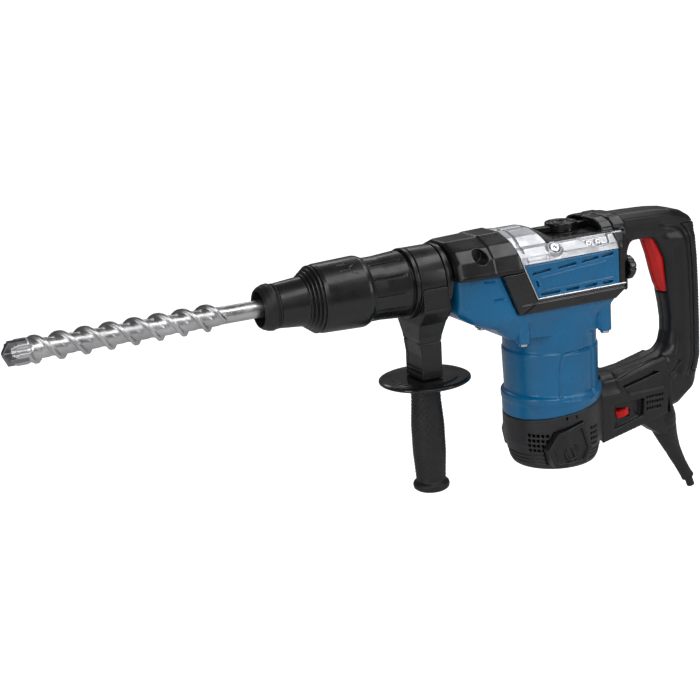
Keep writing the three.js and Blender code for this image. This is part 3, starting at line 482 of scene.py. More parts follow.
def mixed(tree, share, a, b):
    """Blends two colours or sockets by a share."""
    node = add_node(tree, "Mix")
    node.data_type = "RGBA"
    link(tree, share, node.inputs["Factor"])
    for value, socket in ((a, node.inputs[COLOUR_A]), (b, node.inputs[COLOUR_B])):
        if isinstance(value, tuple):
            socket.default_value = (*value, 1)
        else:
            link(tree, value, socket)
    return node.outputs[COLOUR_OUT]


def bump(tree, shader, heights):
    """Chains bumps of (height, strength, depth in millimetres) into the shader's normal."""
    before = None
    for height, strength, depth in heights:
        node = add_node(tree, "Bump", Strength=strength, Distance=depth * MM)
        link(tree, height, node.inputs["Height"])
        if before is not None:
            link(tree, before, node.inputs["Normal"])
        before = node.outputs["Normal"]
    link(tree, before, shader.inputs["Normal"])


def tint(colour, factor):
    """The colour made lighter or darker by a factor."""
    return tuple(min(1.0, channel * factor) for channel in colour)


def edge_wear(tree, colour, worn):
    """Colour that turns to the worn colour on sharp convex edges."""
    geometry = add_node(tree, "NewGeometry")
    share = ramp(tree, geometry.outputs["Pointiness"], (0.53, 0.0), (0.62, 1.0))
    return mixed(tree, share, colour, worn)


def moulded(name, colour, roughness, grain=0.5, wear=1.6, coat=0.0):
    """Injection-moulded plastic with fine spark-eroded grain, faint flow mottling and rubbed edges."""
    material, tree, shader = textured(name, colour, roughness, coat=coat)
    mottle = ramp(tree, noise(tree, 22, 3), (0.3, tint(colour, 0.86)), (0.7, tint(colour, 1.12)))
    link(tree, edge_wear(tree, mottle, tint(colour, wear)), shader.inputs["Base Color"])
    scuff = ramp(tree, noise(tree, 60, 5), (0.3, roughness - 0.07), (0.72, roughness + 0.1))
    link(tree, scuff, shader.inputs["Roughness"])
    bump(tree, shader, [(noise(tree, 2600, 2), grain * 0.35, 0.12), (noise(tree, 75, 2), 0.05, 1.0)])
    return material


def pebbled(name, colour, roughness):
    """Soft rubber with a pebbled skin and dust in its hollows."""
    material, tree, shader = textured(name, colour, roughness)
    place = add_node(tree, "TexCoord")
    cells = add_node(tree, "TexVoronoi", Scale=900)
    link(tree, place.outputs["Object"], cells.inputs["Vector"])
    dust = ramp(tree, noise(tree, 40, 4), (0.35, tint(colour, 0.8)), (0.75, tint(colour, 1.5)))
    link(tree, dust, shader.inputs["Base Color"])
    sheen = ramp(tree, noise(tree, 90, 3), (0.3, roughness - 0.1), (0.7, roughness + 0.06))
    link(tree, sheen, shader.inputs["Roughness"])
    bump(tree, shader, [(cells.outputs["Distance"], 0.45, 0.22), (noise(tree, 3000, 2), 0.25, 0.08)])
    return material


def metal(name, colour, roughness, texture=700, depth=0.06, stretch=(1, 1, 1), strength=0.35, sheen=1.0):
    """Bare metal: machining or casting texture, mottled polish and bright worn edges."""
    material, tree, shader = textured(name, colour, roughness, metallic=sheen)
    stain = ramp(tree, noise(tree, 35, 4), (0.3, tint(colour, 0.8)), (0.7, tint(colour, 1.1)))
    link(tree, edge_wear(tree, stain, tint(colour, 1.35)), shader.inputs["Base Color"])
    polish = ramp(tree, noise(tree, 90, 4), (0.3, roughness - 0.07), (0.7, roughness + 0.12))
    link(tree, polish, shader.inputs["Roughness"])
    bump(tree, shader, [(noise(tree, texture, 3, stretch), strength, depth)])
    return material


def stacked(name, colour, gap_colour, per_metre):
    """Stacked steel laminations: thin dark lines across z."""
    material, tree, shader = textured(name, colour, 0.4, metallic=0.9)
    place = add_node(tree, "TexCoord")
    lines = add_node(tree, "TexWave", Scale=per_metre, Distortion=0.3)
    lines.bands_direction = "Z"
    link(tree, place.outputs["Object"], lines.inputs["Vector"])
    shade = ramp(tree, lines.outputs["Fac"], (0.1, gap_colour), (0.45, colour))
    link(tree, shade, shader.inputs["Base Color"])
    bump(tree, shader, [(lines.outputs["Fac"], 0.5, 0.2)])
    return material


BLUE = moulded("blue_housing", (0.001, 0.145, 0.34), 0.3, grain=0.25, wear=1.3, coat=0.2)
BLACK = moulded("black_housing", (0.008, 0.0083, 0.009), 0.3, grain=0.3, wear=1.6, coat=0.15)
GLOSS_BLACK = moulded("black_trim", (0.007, 0.007, 0.0075), 0.2, grain=0.12, wear=2.0, coat=0.3)
GREY = moulded("dark_grey_cap", (0.024, 0.0245, 0.027), 0.42, grain=0.6, wear=1.6)
HANDLE_BLACK = moulded("black_handle", (0.011, 0.0113, 0.0125), 0.34, grain=0.45, wear=1.6)
RUBBER = pebbled("soft_rubber", (0.010, 0.010, 0.011), 0.48)
RED = moulded("red_control", (0.72, 0.008, 0.006), 0.34, grain=0.3, wear=1.2)
MAGNESIUM = metal("magnesium", (0.6, 0.61, 0.64), 0.3, texture=900, depth=0.05, strength=0.2, sheen=0.6)
BIT_STEEL = metal("bit_steel", (0.66, 0.66, 0.67), 0.32, texture=1500, depth=0.08)
CARBIDE = metal("carbide", (0.3, 0.3, 0.32), 0.32, texture=1100, depth=0.05)
MACHINED = metal("machined_steel", (0.58, 0.58, 0.6), 0.24, texture=260, depth=0.05, stretch=(12, 1, 1))
GEAR_STEEL = metal("gear_steel", (0.25, 0.25, 0.27), 0.34, texture=900, depth=0.05)
BRIGHT = metal("bright_steel", (0.75, 0.75, 0.76), 0.18, texture=500, depth=0.04)
COPPER = metal("copper", (0.75, 0.32, 0.16), 0.3, texture=1400, depth=0.1, stretch=(1, 1, 0.2))
LAMINATIONS = stacked("laminations", (0.3, 0.3, 0.32), (0.05, 0.05, 0.05), 320)
CARBON = moulded("carbon", (0.02, 0.02, 0.02), 0.6, grain=0.9)
FINISHES = {
    finish.name.split(".")[0]: finish
    for finish in (BLUE, BLACK, GREY, MAGNESIUM, RUBBER, RED, BIT_STEEL, CARBIDE, MACHINED, GEAR_STEEL,
                   COPPER, LAMINATIONS, CARBON)
}


def finish_frame():
    """Gives every CAD node the procedural finish of its material slot."""
    for node in frame["nodes"].values():
        for slot in node.material_slots:
            finish = FINISHES.get(slot.material.name.split(".")[0]) if slot.material else None
            slot.material = finish or GEAR_STEEL


# ------------------------------------------------------------------ studio
CAMERA_TURN, CAMERA_DIP, CAMERA_ROLL = math.radians(24), math.radians(15.22), math.radians(4.44)
CAMERA_DISTANCE = 1465.4
FOCAL = 1500 / 700
AIM = (0.2795, 0.1323)


def camera():
    """Camera that puts the motor axis at AIM right of and above the centre, as shares of half the frame."""
    ahead = Vector((math.sin(CAMERA_TURN) * math.cos(CAMERA_DIP),
                    math.cos(CAMERA_TURN) * math.cos(CAMERA_DIP),
                    -math.sin(CAMERA_DIP)))
    level = Vector((math.cos(CAMERA_TURN), -math.sin(CAMERA_TURN), 0))
    upright = level.cross(ahead)
    right = level * math.cos(CAMERA_ROLL) - upright * math.sin(CAMERA_ROLL)
    up = level * math.sin(CAMERA_ROLL) + upright * math.cos(CAMERA_ROLL)
    place = -ahead * CAMERA_DISTANCE
    place -= right * AIM[0] * CAMERA_DISTANCE / FOCAL
    place -= up * AIM[1] * CAMERA_DISTANCE / FOCAL
    lens = bpy.data.cameras.new("camera")
    lens.sensor_width = 36
    lens.lens = 36 * FOCAL
    lens.clip_end = 100
    eye = placed("camera", lens)
    turn = Matrix((right, up, -ahead)).transposed()
    eye.matrix_world = Matrix.Translation(place * MM + Vector(ORIGIN)) @ turn.to_4x4()
    bpy.context.scene.camera = eye


def soft_light(name, place, aim, size, power):
    """Rectangular lamp turned towards a point."""
    lamp = bpy.data.lights.new(name, "AREA")
    lamp.shape = "RECTANGLE"
    lamp.size, lamp.size_y = size
    lamp.energy = power
    light = placed(name, lamp)
    light.location = place
    light.rotation_euler = (Vector(aim) - Vector(place)).to_track_quat("-Z", "Y").to_euler()


def studio():
    """Pale floor, even white surroundings and five soft lamps."""
    floor_mesh = bpy.data.meshes.new("floor")
    reach, level = 40, CAD_BOX[0][2] - 0.004
    corners = [(-reach, -reach), (reach, -reach), (reach, reach), (-reach, reach)]
    floor_mesh.from_pydata([(x, y, level) for x, y in corners], [], [(0, 1, 2, 3)])
    floor = placed("floor", floor_mesh)
    material, tree, shader = textured("floor", (0.86, 0.86, 0.86), 0.7)
    link(tree, ramp(tree, noise(tree, 3, 3), (0.3, 0.8), (0.7, 0.83)), shader.inputs["Base Color"])
    sight = add_node(tree, "LightPath")
    shader.inputs["Emission Color"].default_value = (1, 1, 1, 1)
    glow = ramp(tree, sight.outputs["Is Camera Ray"], (0.0, 0.0), (1.0, 0.95))
    link(tree, glow, shader.inputs["Emission Strength"])
    floor_mesh.materials.append(material)
    world = bpy.data.worlds.new("studio")
    bpy.context.scene.world = world
    world.use_nodes = True
    tree = world.node_tree
    sky = tree.nodes["Background"]
    sky.inputs["Color"].default_value = (1, 1, 1, 1)
    eye = add_node(tree, "LightPath")
    link(tree, ramp(tree, eye.outputs["Is Camera Ray"], (0.0, 0.1), (1.0, 1.0)), sky.inputs["Strength"])
    middle = (-0.1, 0, 0.17)
    soft_light("overhead", (0.3, -0.4, 1.3), (-0.1, 0, 0.2), (2.6, 0.4), 9.5)
    soft_light("key", (-0.8, -1.4, 1.0), middle, (0.9, 0.7), 6.5)
    soft_light("left", (-1.7, -0.6, 0.25), middle, (0.5, 1.0), 5)
    soft_light("right", (0.9, -1.3, 0.7), middle, (0.35, 0.9), 4)
    soft_light("rim", (0.4, 1.2, 1.1), middle, (1.3, 0.3), 2.5)
    bpy.context.scene.view_settings.view_transform = "Standard"


def add_sides(name, space, field, body, slot, material):
    """Adds a left-hand piece and its mirror image."""
    points, quads = surface(space, field)
    add_piece(name + "_left", points, quads.tolist(), body, slot, material)
    flipped = (points * (1, -1, 1), quads[:, ::-1].tolist())
    add_piece(name + "_right", *flipped, body, slot, material)


def smooth(value, low, high):
    """0 below low and 1 above high, with an S-shaped step between."""
    t = np.clip((value - low) / (high - low), 0, 1)
    return t * t * (3 - 2 * t)


# ------------------------------------------------------------------ drill bit
FLUTE = {"lead": 44.0, "core": 8.7, "land": 12.4, "to": -333.0}
SHANK_SLOT = {"front": -251, "rear": -227, "floor": 6.8, "half": 3.8}
HEAD = {"tip": -535.0, "front": -527.5, "rear": -509.0, "radius": 11.9}


def drill_bit():
    """Two helical lands round a thick core, running out into a four-lobed head."""
    rows, segments = 470, 96
    end = span("drill_bit")[1][0]
    x = np.linspace(HEAD["front"], end, rows)[:, None]
    angle = np.linspace(0, 2 * np.pi, segments, endpoint=False)[None, :]
    turn = (angle - 2 * np.pi * x / FLUTE["lead"]) / np.pi % 1
    ridge = smooth(turn, 0.33, 0.41) * smooth(-turn, -0.61, -0.52)
    flank = FLUTE["core"] - 0.5 * smooth(turn, 0.64, 0.8) * smooth(-turn, -1.0, -0.84)
    fluted = flank + (FLUTE["land"] - flank) * ridge
    plain = 8.0 + smooth(x, -290, -288)
    fade = smooth(x, FLUTE["to"] - 14, FLUTE["to"])
    radii = fluted * (1 - fade) + plain * fade
    lobes = HEAD["radius"] - 4.6 * smooth(np.cos(4 * (angle - math.radians(70))), 0.35, 0.95)
    lobes = lobes - 3.5 * smooth(-x, -HEAD["front"] - 5, -HEAD["front"])
    head = smooth(-x, -HEAD["rear"], -HEAD["rear"] + 5)
    radii = radii * (1 - head) + np.maximum(lobes, 6.5) * head
    radii -= 1.5 * smooth(x, end - 1.5, end)
    low, high = SHANK_SLOT["front"], SHANK_SLOT["rear"]
    slot = smooth(x, low, low + 3) * smooth(-x, -high, -high + 3)
    flat = SHANK_SLOT["floor"] / np.maximum(np.abs(np.cos(angle)), 0.2)
    in_slot = (np.abs(np.sin(angle) * 9) < SHANK_SLOT["half"]) * slot
    radii = np.where(in_slot > 0.5, np.minimum(radii, flat), radii)
    x = np.broadcast_to(x, radii.shape)
    points = np.stack([x, radii * np.cos(angle), radii * np.sin(angle)], axis=-1)
    points, faces = capped(points)
    add_piece("drill_bit", points, faces, "bit", "bit_steel", BIT_STEEL)


def carbide_head():
    """Crossed roof-shaped carbide blades set into the head."""
    space = Space((-537, -14, -14), (-508, 14, 14), 0.35)
    twist = math.radians(25)
    across = space.y * math.cos(twist) + space.z * math.sin(twist)
    along = -space.y * math.sin(twist) + space.z * math.cos(twist)

    def blade(width, height, half, tip):
        roof = [(-514, -half), (-514, half), (-530, half), (tip, 1.2), (tip, -1.2), (-530, -half)]
        return meet(outline(space.x, height, roof), np.abs(width) - 2.2, 0.25)

    field = unite(blade(across, along, 12.4, HEAD["tip"]), blade(along, across, 11.9, -533.4), 0.8)
    add_field("carbide_head", space, field, "bit", "carbide", CARBIDE)


# ------------------------------------------------------------------ chuck and barrel
def chuck():
    """Rubber dust cap and the stepped cone behind it."""
    cap = [
        (-303.0, 16.4), (-303.3, 17.6), (-300.8, 19.5), (-296.4, 21.3), (-292.4, 21.8), (-291.0, 21.2),
        (-290.3, 19.9), (-289.3, 19.9), (-288.9, 20.9), (-287.4, 20.8), (-287.4, 9.5), (-290.5, 9.5),
        (-291.5, 15.6),
    ]
    add_turned("dust_cap", "spindle", "soft_rubber", RUBBER, cap, radius=0.9, segments=160)
    cone = [(-287.1, 20.6), (-262.4, 22.9)]
    for ring in range(4):
        x, radius = -261.2 + 3.0 * ring, 23.8 + 2.2 * ring
        cone += [(x, radius - 0.9), (x + 0.4, radius + 0.9), (x + 1.7, radius + 1.1), (x + 2.1, radius - 0.2)]
    cone += [(-249.3, 30.4), (-249.3, 17.6), (-251, 17.6), (-251, 14.2), (-287.1, 14.2)]
    add_turned("chuck_cone", "spindle", "black_housing", BLACK, cone, radius=0.5, segments=160)


def locking_sleeve():
    """Sleeve that tapers up to its rear lip, with a shallow notch and an arrow that show its travel."""
    lip = 30.6
    profile = [
        (-249, 30.2), (-248.6, 31.4), (-245, 32.2), (-206, 33.6), (-203.6, 33.2), (-200, 31.5), (-200, lip),
        (-216, lip), (-217, 24.4), (-239.5, 24.4), (-240, 17.6), (-249, 17.6),
    ]

    def marks(along, radii, angle):
        outer = radii > 31.8
        round_by = (np.degrees(angle) - 128) * 0.58
        notch = (np.abs(along + 224) < 4.2) & (np.abs(round_by + 9) < 0.9)
        shaft = (np.abs(along + 223) < 5) & (np.abs(round_by) < 0.35)
        barb = np.abs(np.abs(round_by) - (along + 218 + 5) * 0.55) < 0.4
        barb &= (along > -218) & (along < -213.5)
        return radii - 0.5 * (outer & (notch | shaft | barb))

    add_turned("locking_sleeve", "sleeve", "black_housing", BLACK, profile,
               radius=1.0, segments=420, step=0.7, relief=marks)


def barrel_sleeve():
    """Fixed sleeve with long grooves, a seat for the clamp band and a rear collar."""
    profile = [
        (-203, 30), (-186, 30), (-162.4, 31.8), (-161.8, 31.3), (-161.8, 29.3), (-158.7, 29.3),
        (-158.5, 33.2), (-154.6, 33.2), (-154.5, 28), (-127.2, 28), (-127.1, 33.6), (-124.2, 33.6),
        (-123.8, 32.2), (-120.6, 32.2), (-120.5, 27.9), (-117.5, 27.9), (-117.5, 24), (-203, 24),
    ]

    def slots(along, radii, angle):
        offset = (np.degrees(angle) + 12) % 30 - 15
        arc = np.abs(np.radians(offset)) * radii
        reach = smooth(along, -197.5, -196.5) * smooth(-along, 166.5, 167.5)
        ledge = np.clip((1.5 - arc) / 0.35, 0, 1)
        return radii - 1.9 * ledge * reach * (radii > 29)

    add_turned("barrel_sleeve", "housing", "black_housing", BLACK, profile,
               radius=0.6, segments=576, step=1.2, relief=slots)


def clamp_band():
    """Band that holds the side handle on the barrel."""
    band = [(-153.7, 32.4), (-152.9, 33), (-128.4, 33), (-127.6, 32.4), (-127.6, 28.3), (-153.7, 28.3)]
    add_turned("clamp_band", "side_handle", "black_housing", BLACK, band, radius=0.5, segments=160)


# ------------------------------------------------------------------ side handle
HANDLE_X = -140.5


def handle_bracket():
    """Saddle with a flat pad on each side, narrowing into a neck that stands on the hand guard."""
    space = box_space("side_handle_bracket", 0.8)
    x, y, z = space.axes
    across = outline(
        y, z,
        [(-17.5, -93.7), (17.5, -93.7), (18.5, -52), (24, -38), (35.5, -24), (35.5, -1.5), (-35.5, -1.5),
         (-35.5, -24), (-24, -38), (-18.5, -52)],
    )
    along = outline(
        x, z,
        [(-151.5, -93.7), (-150.5, -70), (-154.2, -38), (-153.4, -1.5), (-127.8, -1.5), (-124.4, -30),
         (-129, -56), (-129.5, -93.7)],
    )
    field = meet(across, along, 1.6)
    pad = meet(between(x, -152.5, -128.5), between(z, -22.5, -3.5))
    field = score(field, all_of(pad, 20 - np.abs(y)), 0.7, 0.2)
    panel = all_of(np.abs(y) - (13.5 + 0.05 * (z + 90)), between(z, -83, -55), x + 147)
    field = score(field, panel, 0.9, 0.3)
    foot = all_of(np.abs(y) - 14.5, between(z, -88.5, -86.8), x + 147)
    field = score(field, foot, 0.8, 0.2)
    field = score(field, all_of(between(z, -58, -56.6), 10 - np.abs(y)), 0.6, 0.2)
    field = carve(field, any_of((disc(y, z, (0, 0), 33.3), disc(x, y, (HANDLE_X, 0), 4.4))))
    add_field("side_handle_bracket", space, field, "side_handle", "black_housing", BLACK)


def hand_guard():
    """Dished disc between the bracket and the side grip."""
    profile = [
        (-97.0, 4.4), (-97.0, 33), (-98.3, 42.6), (-97.2, 44.4), (-95.2, 44.2), (-94.0, 41.5), (-94.5, 38),
        (-95.0, 32.5), (-94, 31), (-94, 4.4),
    ]
    add_turned("hand_guard", "side_grip", "black_housing", GLOSS_BLACK, profile,
               axis="z", centre=(HANDLE_X, 0), radius=0.9, segments=160)


def side_grip():
    """Barrel-shaped rubber grip covered with staggered dots, with a flange at its foot."""
    profile = [
        (-97.3, 15.5), (-101, 13.7), (-118, 14.2), (-142, 15.9), (-170, 15.9), (-194, 14.3), (-198.5, 14.6),
        (-200.5, 17.4), (-203, 17.9), (-206, 17.3), (-208, 14.8), (-208, 4.4), (-97.3, 4.4),
    ]

    def dots(along, radii, angle):
        pitch, around = 3.6, 22
        row = np.round((along + 100) / pitch)
        side = np.degrees(angle) * around / 360 + 0.5 * (row % 2)
        across = (side - np.round(side)) * 2 * np.pi * 15 / around
        lift = np.clip(1 - ((along + 100 - row * pitch) ** 2 + across**2) / 0.9, 0, 1)
        covered = (along < -101) & (along > -196) & (radii > 10)
        return radii + 0.55 * np.sqrt(lift) * covered

    add_turned("side_grip", "side_grip", "soft_rubber", RUBBER, profile,
               axis="z", centre=(HANDLE_X, 0), radius=2.2, segments=288, step=0.45, relief=dots)


# ------------------------------------------------------------------ gear housing and nose
COVER = [(-55, 7.4), (-41, -25.6), (51.2, -25.6), (51.2, 8.4)]
TRIM = [(-77.5, 1.4), (-62, -38.5), (46, -39.5), (58, -31), (58, -26), (-41.6, -26), (-53.6, 2.4)]
PLAY = 0.3
KNOB_X = joint_place("mode_knob_turn")[0]


def side_space(space):
    """Where the side covers and trims are let into the housings, with their clearance."""
    seats = unite(outline(space.x, space.z, COVER), outline(space.x, space.z, TRIM)) - PLAY
    return np.maximum(seats, 43.5 - np.abs(space.y))


def chin_line(x):
    """Height of the seam between the black nose and the blue chin."""
    return 0.6 + (x + 121) * 0.03


def crown_front(z):
    """Where the black nose meets the silver crown: the seam leans back towards the bottom."""
    return -60 + 0.15 * np.clip(36 - z, 0, 31)


def nose_housing():
    """Hood over the hammer tube: faceted roof, round side holes, a raised rear half and a bottom lip."""
    space = Space((-121, -52, -3), (-53, 52, 38), 0.85)
    x, y, z = space.axes
    section = [(50, -20), (50, 7.5), (46, 18.6), (35, 29), (15, 35.9), (-15, 35.9), (-35, 29), (-46, 18.6),
               (-50, 7.5), (-50, -20)]
    back = np.clip((x + 119.5) / 59.5, 0, 1)
    width = 0.83 + 0.17 * np.sqrt(back)
    raised = 0.9 * smooth(x, -84.6, -84.0)
    lip = 0.9 * smooth(-z, -7.0 - 0.03 * (x + 80), -5.8 - 0.03 * (x + 80))
    field = outline(y / width, z + 1.4 * (1 - back), rounded(section, 6, steps=4)) - raised - lip
    field = meet(field, -119.5 - x, 3.2)
    field = meet(field, x - crown_front(z), 0.6)
    bore = np.where(x < -117.2, 28.3, np.where(x > -76, 34.8, 24.5))
    field = carve(field, disc(y, z, (0, 0), bore))
    field = carve(field, all_of(disc(x, z, (-95, 21), 6.6), 30 - np.abs(y)), 0.9)
    field = carve(field, side_space(space))
    field = meet(field, chin_line(x) - z + 0.15, 0.5)
    add_field("nose_housing", space, field, "housing", "black_housing", BLACK)


FLANK_LEAN = math.radians(44)
FLANK_SEAT = (43.4, 17.6)
COVER_SCREW_X, FLANK_SCREWS = -17.5, (21.8, 32.5)


def on_flank(space, x):
    """Distance from a line square to the sloping flanks at x, and the height above the flank."""
    across, rise = np.abs(space.y) - FLANK_SEAT[0], space.z - FLANK_SEAT[1]
    out = across * math.sin(FLANK_LEAN) + rise * math.cos(FLANK_LEAN)
    up = rise * math.sin(FLANK_LEAN) - across * math.cos(FLANK_LEAN)
    return np.hypot(space.x - x, up), out


def gear_housing():
    """Magnesium tub with a two-part crown, and a two-faced strip along each flank."""
    space = Space((-61, -52, -27), (67, 52, 38), 0.9)
    x, y, z = space.axes
    side = np.abs(y)
    flank = [(0, -26), (43.5, -26), (43.5, 7), (50, 8.0), (46.8, 14.4), (39.6, 21.4), (36, 22.6), (0, 22.6)]
    lower = meet(outline(side, z, rounded(flank, 0.8, steps=3)), crown_front(z) + 0.25 - x, 0.8)
    lower = meet(lower, x - np.where(side > 37, 52.2, 65), 0.8)
    crown = [(0, 0), (38.6, 20.6), (24.5, 31.2), (12, 35.2), (0, 35.8)]
    rear = -26 + 0.5 * np.clip(36 - z, 0, 14)
    upper = meet(outline(side, z, rounded(crown, 9, steps=4)), crown_front(z) + 0.25 - x, 0.8)
    upper = meet(upper, x - rear, 0.8) - 0.5 * (x < -50.6)
    field = unite(lower, np.maximum(upper, -z), 1.2)
    groove = meet(between(x, -51.4, -49.6), 18 - z)
    field = score(field, groove, 1.3, 0.4)
    window = meet(between(x, -49, -27), between(z, 9.5, 13.5))
    field = score(field, all_of(window, 40 - side), 0.9, 0.3)
    pocket = outline(x, z, [(9, 24), (25, 13.8), (43, 15), (46, 24)])
    field = score(field, all_of(pocket, 36 - side), 1.6, 0.5)
    for place in (COVER_SCREW_X, *FLANK_SCREWS):
        boss = place == COVER_SCREW_X
        across, out = on_flank(space, place)
        radius = 6.3 if boss else 4.2
        if boss:
            field = unite(field, meet(across - 7.6, np.abs(out) - 2.6, 1.2), 1.5)
        field = carve(field, all_of(across - radius + 0.8, -out - (0.2 if boss else 2.0)), 0.6)
    rooms = (
        all_of(between(x, -30.9, 61.5), side - 36.8, z - 19.4),
        all_of(x + 40.1, side - 36.8, z - 19.4),
        all_of(disc(y, z, (0, 0), 31), x + 40.1),
        all_of(disc(y, z, (0, 0), 30.3), between(x, -42, -30)),
        all_of(disc(y, z, (0, 0), 22.6), x + 19),
        all_of(disc(x, y, (KNOB_X, 0), 5.6), 15 - z),
        side_space(space),
    )
    field = carve(field, any_of(rooms))
    add_field("gear_housing", space, field, "housing", "magnesium", MAGNESIUM)


def screw_head(name, place, lean, radius, height):
    """Pan-head screw with a star recess, at a place in millimetres, tipped about x by an angle."""
    space = Space((-radius - 1,) * 2 + (-2,), (radius + 1,) * 2 + (height + 1,), 0.22)
    across = np.hypot(space.x, space.y)
    field = meet(across - radius, between(space.z, -1, height), 0.8)
    lobes = across - radius * (0.36 + 0.1 * np.cos(6 * np.arctan2(space.y, space.x)))
    field = carve(field, all_of(lobes, height - 1.3 - space.z), 0.15)
    points, quads = surface(space, field)
    turn = np.array([[1, 0, 0], [0, math.cos(lean), -math.sin(lean)], [0, math.sin(lean), math.cos(lean)]])
    points = points @ turn.T + np.array(place)
    add_piece(name, points, quads.tolist(), "housing", "machined_steel", BRIGHT)


FRONT_BOSS, REAR_BOSS = (-53.5, 40, -69), (41, 37, -73)


def housing_screws():
    """Screws on the flanks and under the motor housing's bosses, on both sides."""
    for side, label in ((-1, "left"), (1, "right")):
        lean = -side * FLANK_LEAN
        out = np.array([0, side * math.sin(FLANK_LEAN), math.cos(FLANK_LEAN)])
        seat = np.array([0, side * FLANK_SEAT[0], FLANK_SEAT[1]])
        place = seat + out * 0.2 + (COVER_SCREW_X, 0, 0)
        screw_head("cover_screw_" + label, place, lean, 4.9, 2.8)
        for number, x in enumerate(FLANK_SCREWS, 1):
            name = f"flank_screw_{label}_{number}"
            screw_head(name, seat - out * 2.1 + (x, 0, 0), lean, 3.3, 1.9)
        for name, x, y, z in (("front", *FRONT_BOSS), ("rear", *REAR_BOSS)):
            screw_head(f"boss_screw_{name}_{label}", (x, side * y, z - 0.1), math.pi, 4.3, 2.6)


def side_cover():
    """Blue cover: a raised rim, two rows of vents and a raised frame line."""
    low, high = span("side_cover_left")
    space = Space(low - 1.5, high + (1.5, 0, 1.5), 0.5)
    x, y, z = space.axes
    shape = outline(x, z, rounded(COVER, 1.5))
    field = meet(shape, between(y, -50, -43.8), 0.9)
    field = score(field, all_of(shape + 1.9, y + 47), 0.55, 0.25)
    slots = []
    upper = ((-45.6, -24.7, -0.6), (-16.9, 3.3, 1.0), (9.5, 28.3, 2.8), (32.3, 45.3, 4.2))
    lower = ((-36.8, -15.7, -22.3), (-8.9, 5.7, -22.3), (12.5, 26.2, -22.3), (32.5, 44.3, -22.3))
    for start, end, height in upper + lower:
        lean = 0.085 if height > -10 else 0.0
        row = z - height - lean * (x - (start + end) / 2)
        slots.append(meet(between(x, start, end), np.abs(row) - 1.15, 0.6))
    slots.append(outline(x, z, [(-42.3, -8.6), (-40.0, -14.9), (-38.0, -14.9), (-40.3, -8.6)]))
    field = carve(field, all_of(any_of(slots), y + 45.2), 0.4)
    lines = [((-36.4, -6.4), (37, -1.6)), ((-36.4, -6.4), (-32.6, -17.6)), ((-32.6, -17.8), (45, -17.6))]
    for (x0, z0), (x1, z1) in lines:
        length = math.hypot(x1 - x0, z1 - z0)
        ux, uz = (x1 - x0) / length, (z1 - z0) / length
        along = (x - x0) * ux + (z - z0) * uz
        off = np.abs((z - z0) * ux - (x - x0) * uz)
        sunk = z1 < -17 and x1 > 0
        line = all_of(off - (0.4 if sunk else 0.55), np.abs(along - length / 2) - length / 2)
        if sunk:
            field = score(field, all_of(line, y + 47), 0.5, 0.2)
        else:
            field = unite(field, meet(line, between(y, -50.1, -48), 0.3), 0.2)
    add_sides("side_cover", space, field, "housing", "blue_housing", BLUE)


def side_trim():
    """Black angle trim under and in front of each cover, with a stepped face."""
    low, high = span("side_trim_left")
    space = Space(low - 1.5, high + (1.5, 0, 1.5), 0.6)
    x, y, z = space.axes
    shape = outline(x, z, TRIM)
    field = meet(shape, between(y, -51.5, -43.8), 1.3)
    step = outline(x, z, [(-60, -29.6), (62, -29.6), (62, -20), (-60, -20)])
    field = score(field, all_of(step, y + 48), 0.8, 0.4)
    fold = outline(x, z, [(-62.6, -38.4), (-60, -38.4), (-44, -29.5), (-46.4, -29.5)])
    field = score(field, all_of(fold, y + 48), 0.35, 0.15)
    add_sides("side_trim", space, field, "housing", "black_housing", GLOSS_BLACK)


def painted_highlight_strips():
    """Thin bright steel strip between each cover and its trim: a painted highlight for the light that the
    trim's bevelled edges catch.
    """
    path = [(-55.3, 7.4), (-41.3, -25.8), (57.6, -25.8)]
    space = Space((-58, -52.4, -28), (60, -48, 10), 0.4)
    x, y, z = space.axes
    # Painted highlight: this strip of bright steel lies where the trim's bevel catches light.
    field = meet(near_line(x, z, np.array(path)) - 0.75, between(y, -51.2, -49.2), 0.3)
    add_sides("cover_edge_highlight", space, field, "housing", "magnesium", BRIGHT)


def top_cover():
    """Low deck behind the crown, a recess for the knob and an arched hood over the knob's rear wing."""
    space = Space((-27, -39, 20.5), (58.5, 39, 37), 0.55)
    x, y, z = space.axes
    side = np.abs(y)
    plate = outline(side, z, [(0, 21), (37.6, 22.4), (33, 24.2), (0, 24.4)])
    field = meet(plate, between(x, -20.5, 57), 0.8)
    arc = outline(side, z, [(0, 21), (37.6, 22.4), (24, 30.4), (12, 34.2), (0, 34.8)])
    slope = outline(x, z, [(-19, 20.5), (-25.6, 34), (-25.2, 36), (-22.5, 35), (-12, 25.6), (-10, 20.5)])
    field = unite(field, meet(arc, slope, 0.8), 1.0)
    hood = outline(side, z, rounded([(0, 21), (34, 22), (33.2, 27), (27, 32), (17, 34.9), (0, 35.8)], 5))
    hood = meet(hood, between(x, 43.5, 57), 1.4)
    room = outline(side, z, [(0, 18), (28.5, 18), (28, 26), (23, 30.6), (14, 32.6), (0, 33)])
    hood = carve(hood, meet(room, x - 54), 1.2)
    field = unite(field, hood, 1.2)
    field = all_of(field, 22.7 - z)
    field = carve(field, all_of(np.abs(disc(x, y, (KNOB_X, 0), 16.6)) - 0.7, 23.4 - z), 0.3)
    field = carve(field, disc(x, y, (KNOB_X, 0), 5.6))
    for angle in (-50, -25, 0, 25, 50):
        turn = math.radians(180 + angle)
        spot = (KNOB_X + 24 * math.cos(turn), 24 * math.sin(turn))
        field = score(field, all_of(disc(x, y, spot, 0.9), 23 - z), 0.5, 0.2)
    add_field("top_cover", space, field, "housing", "black_housing", BLACK)


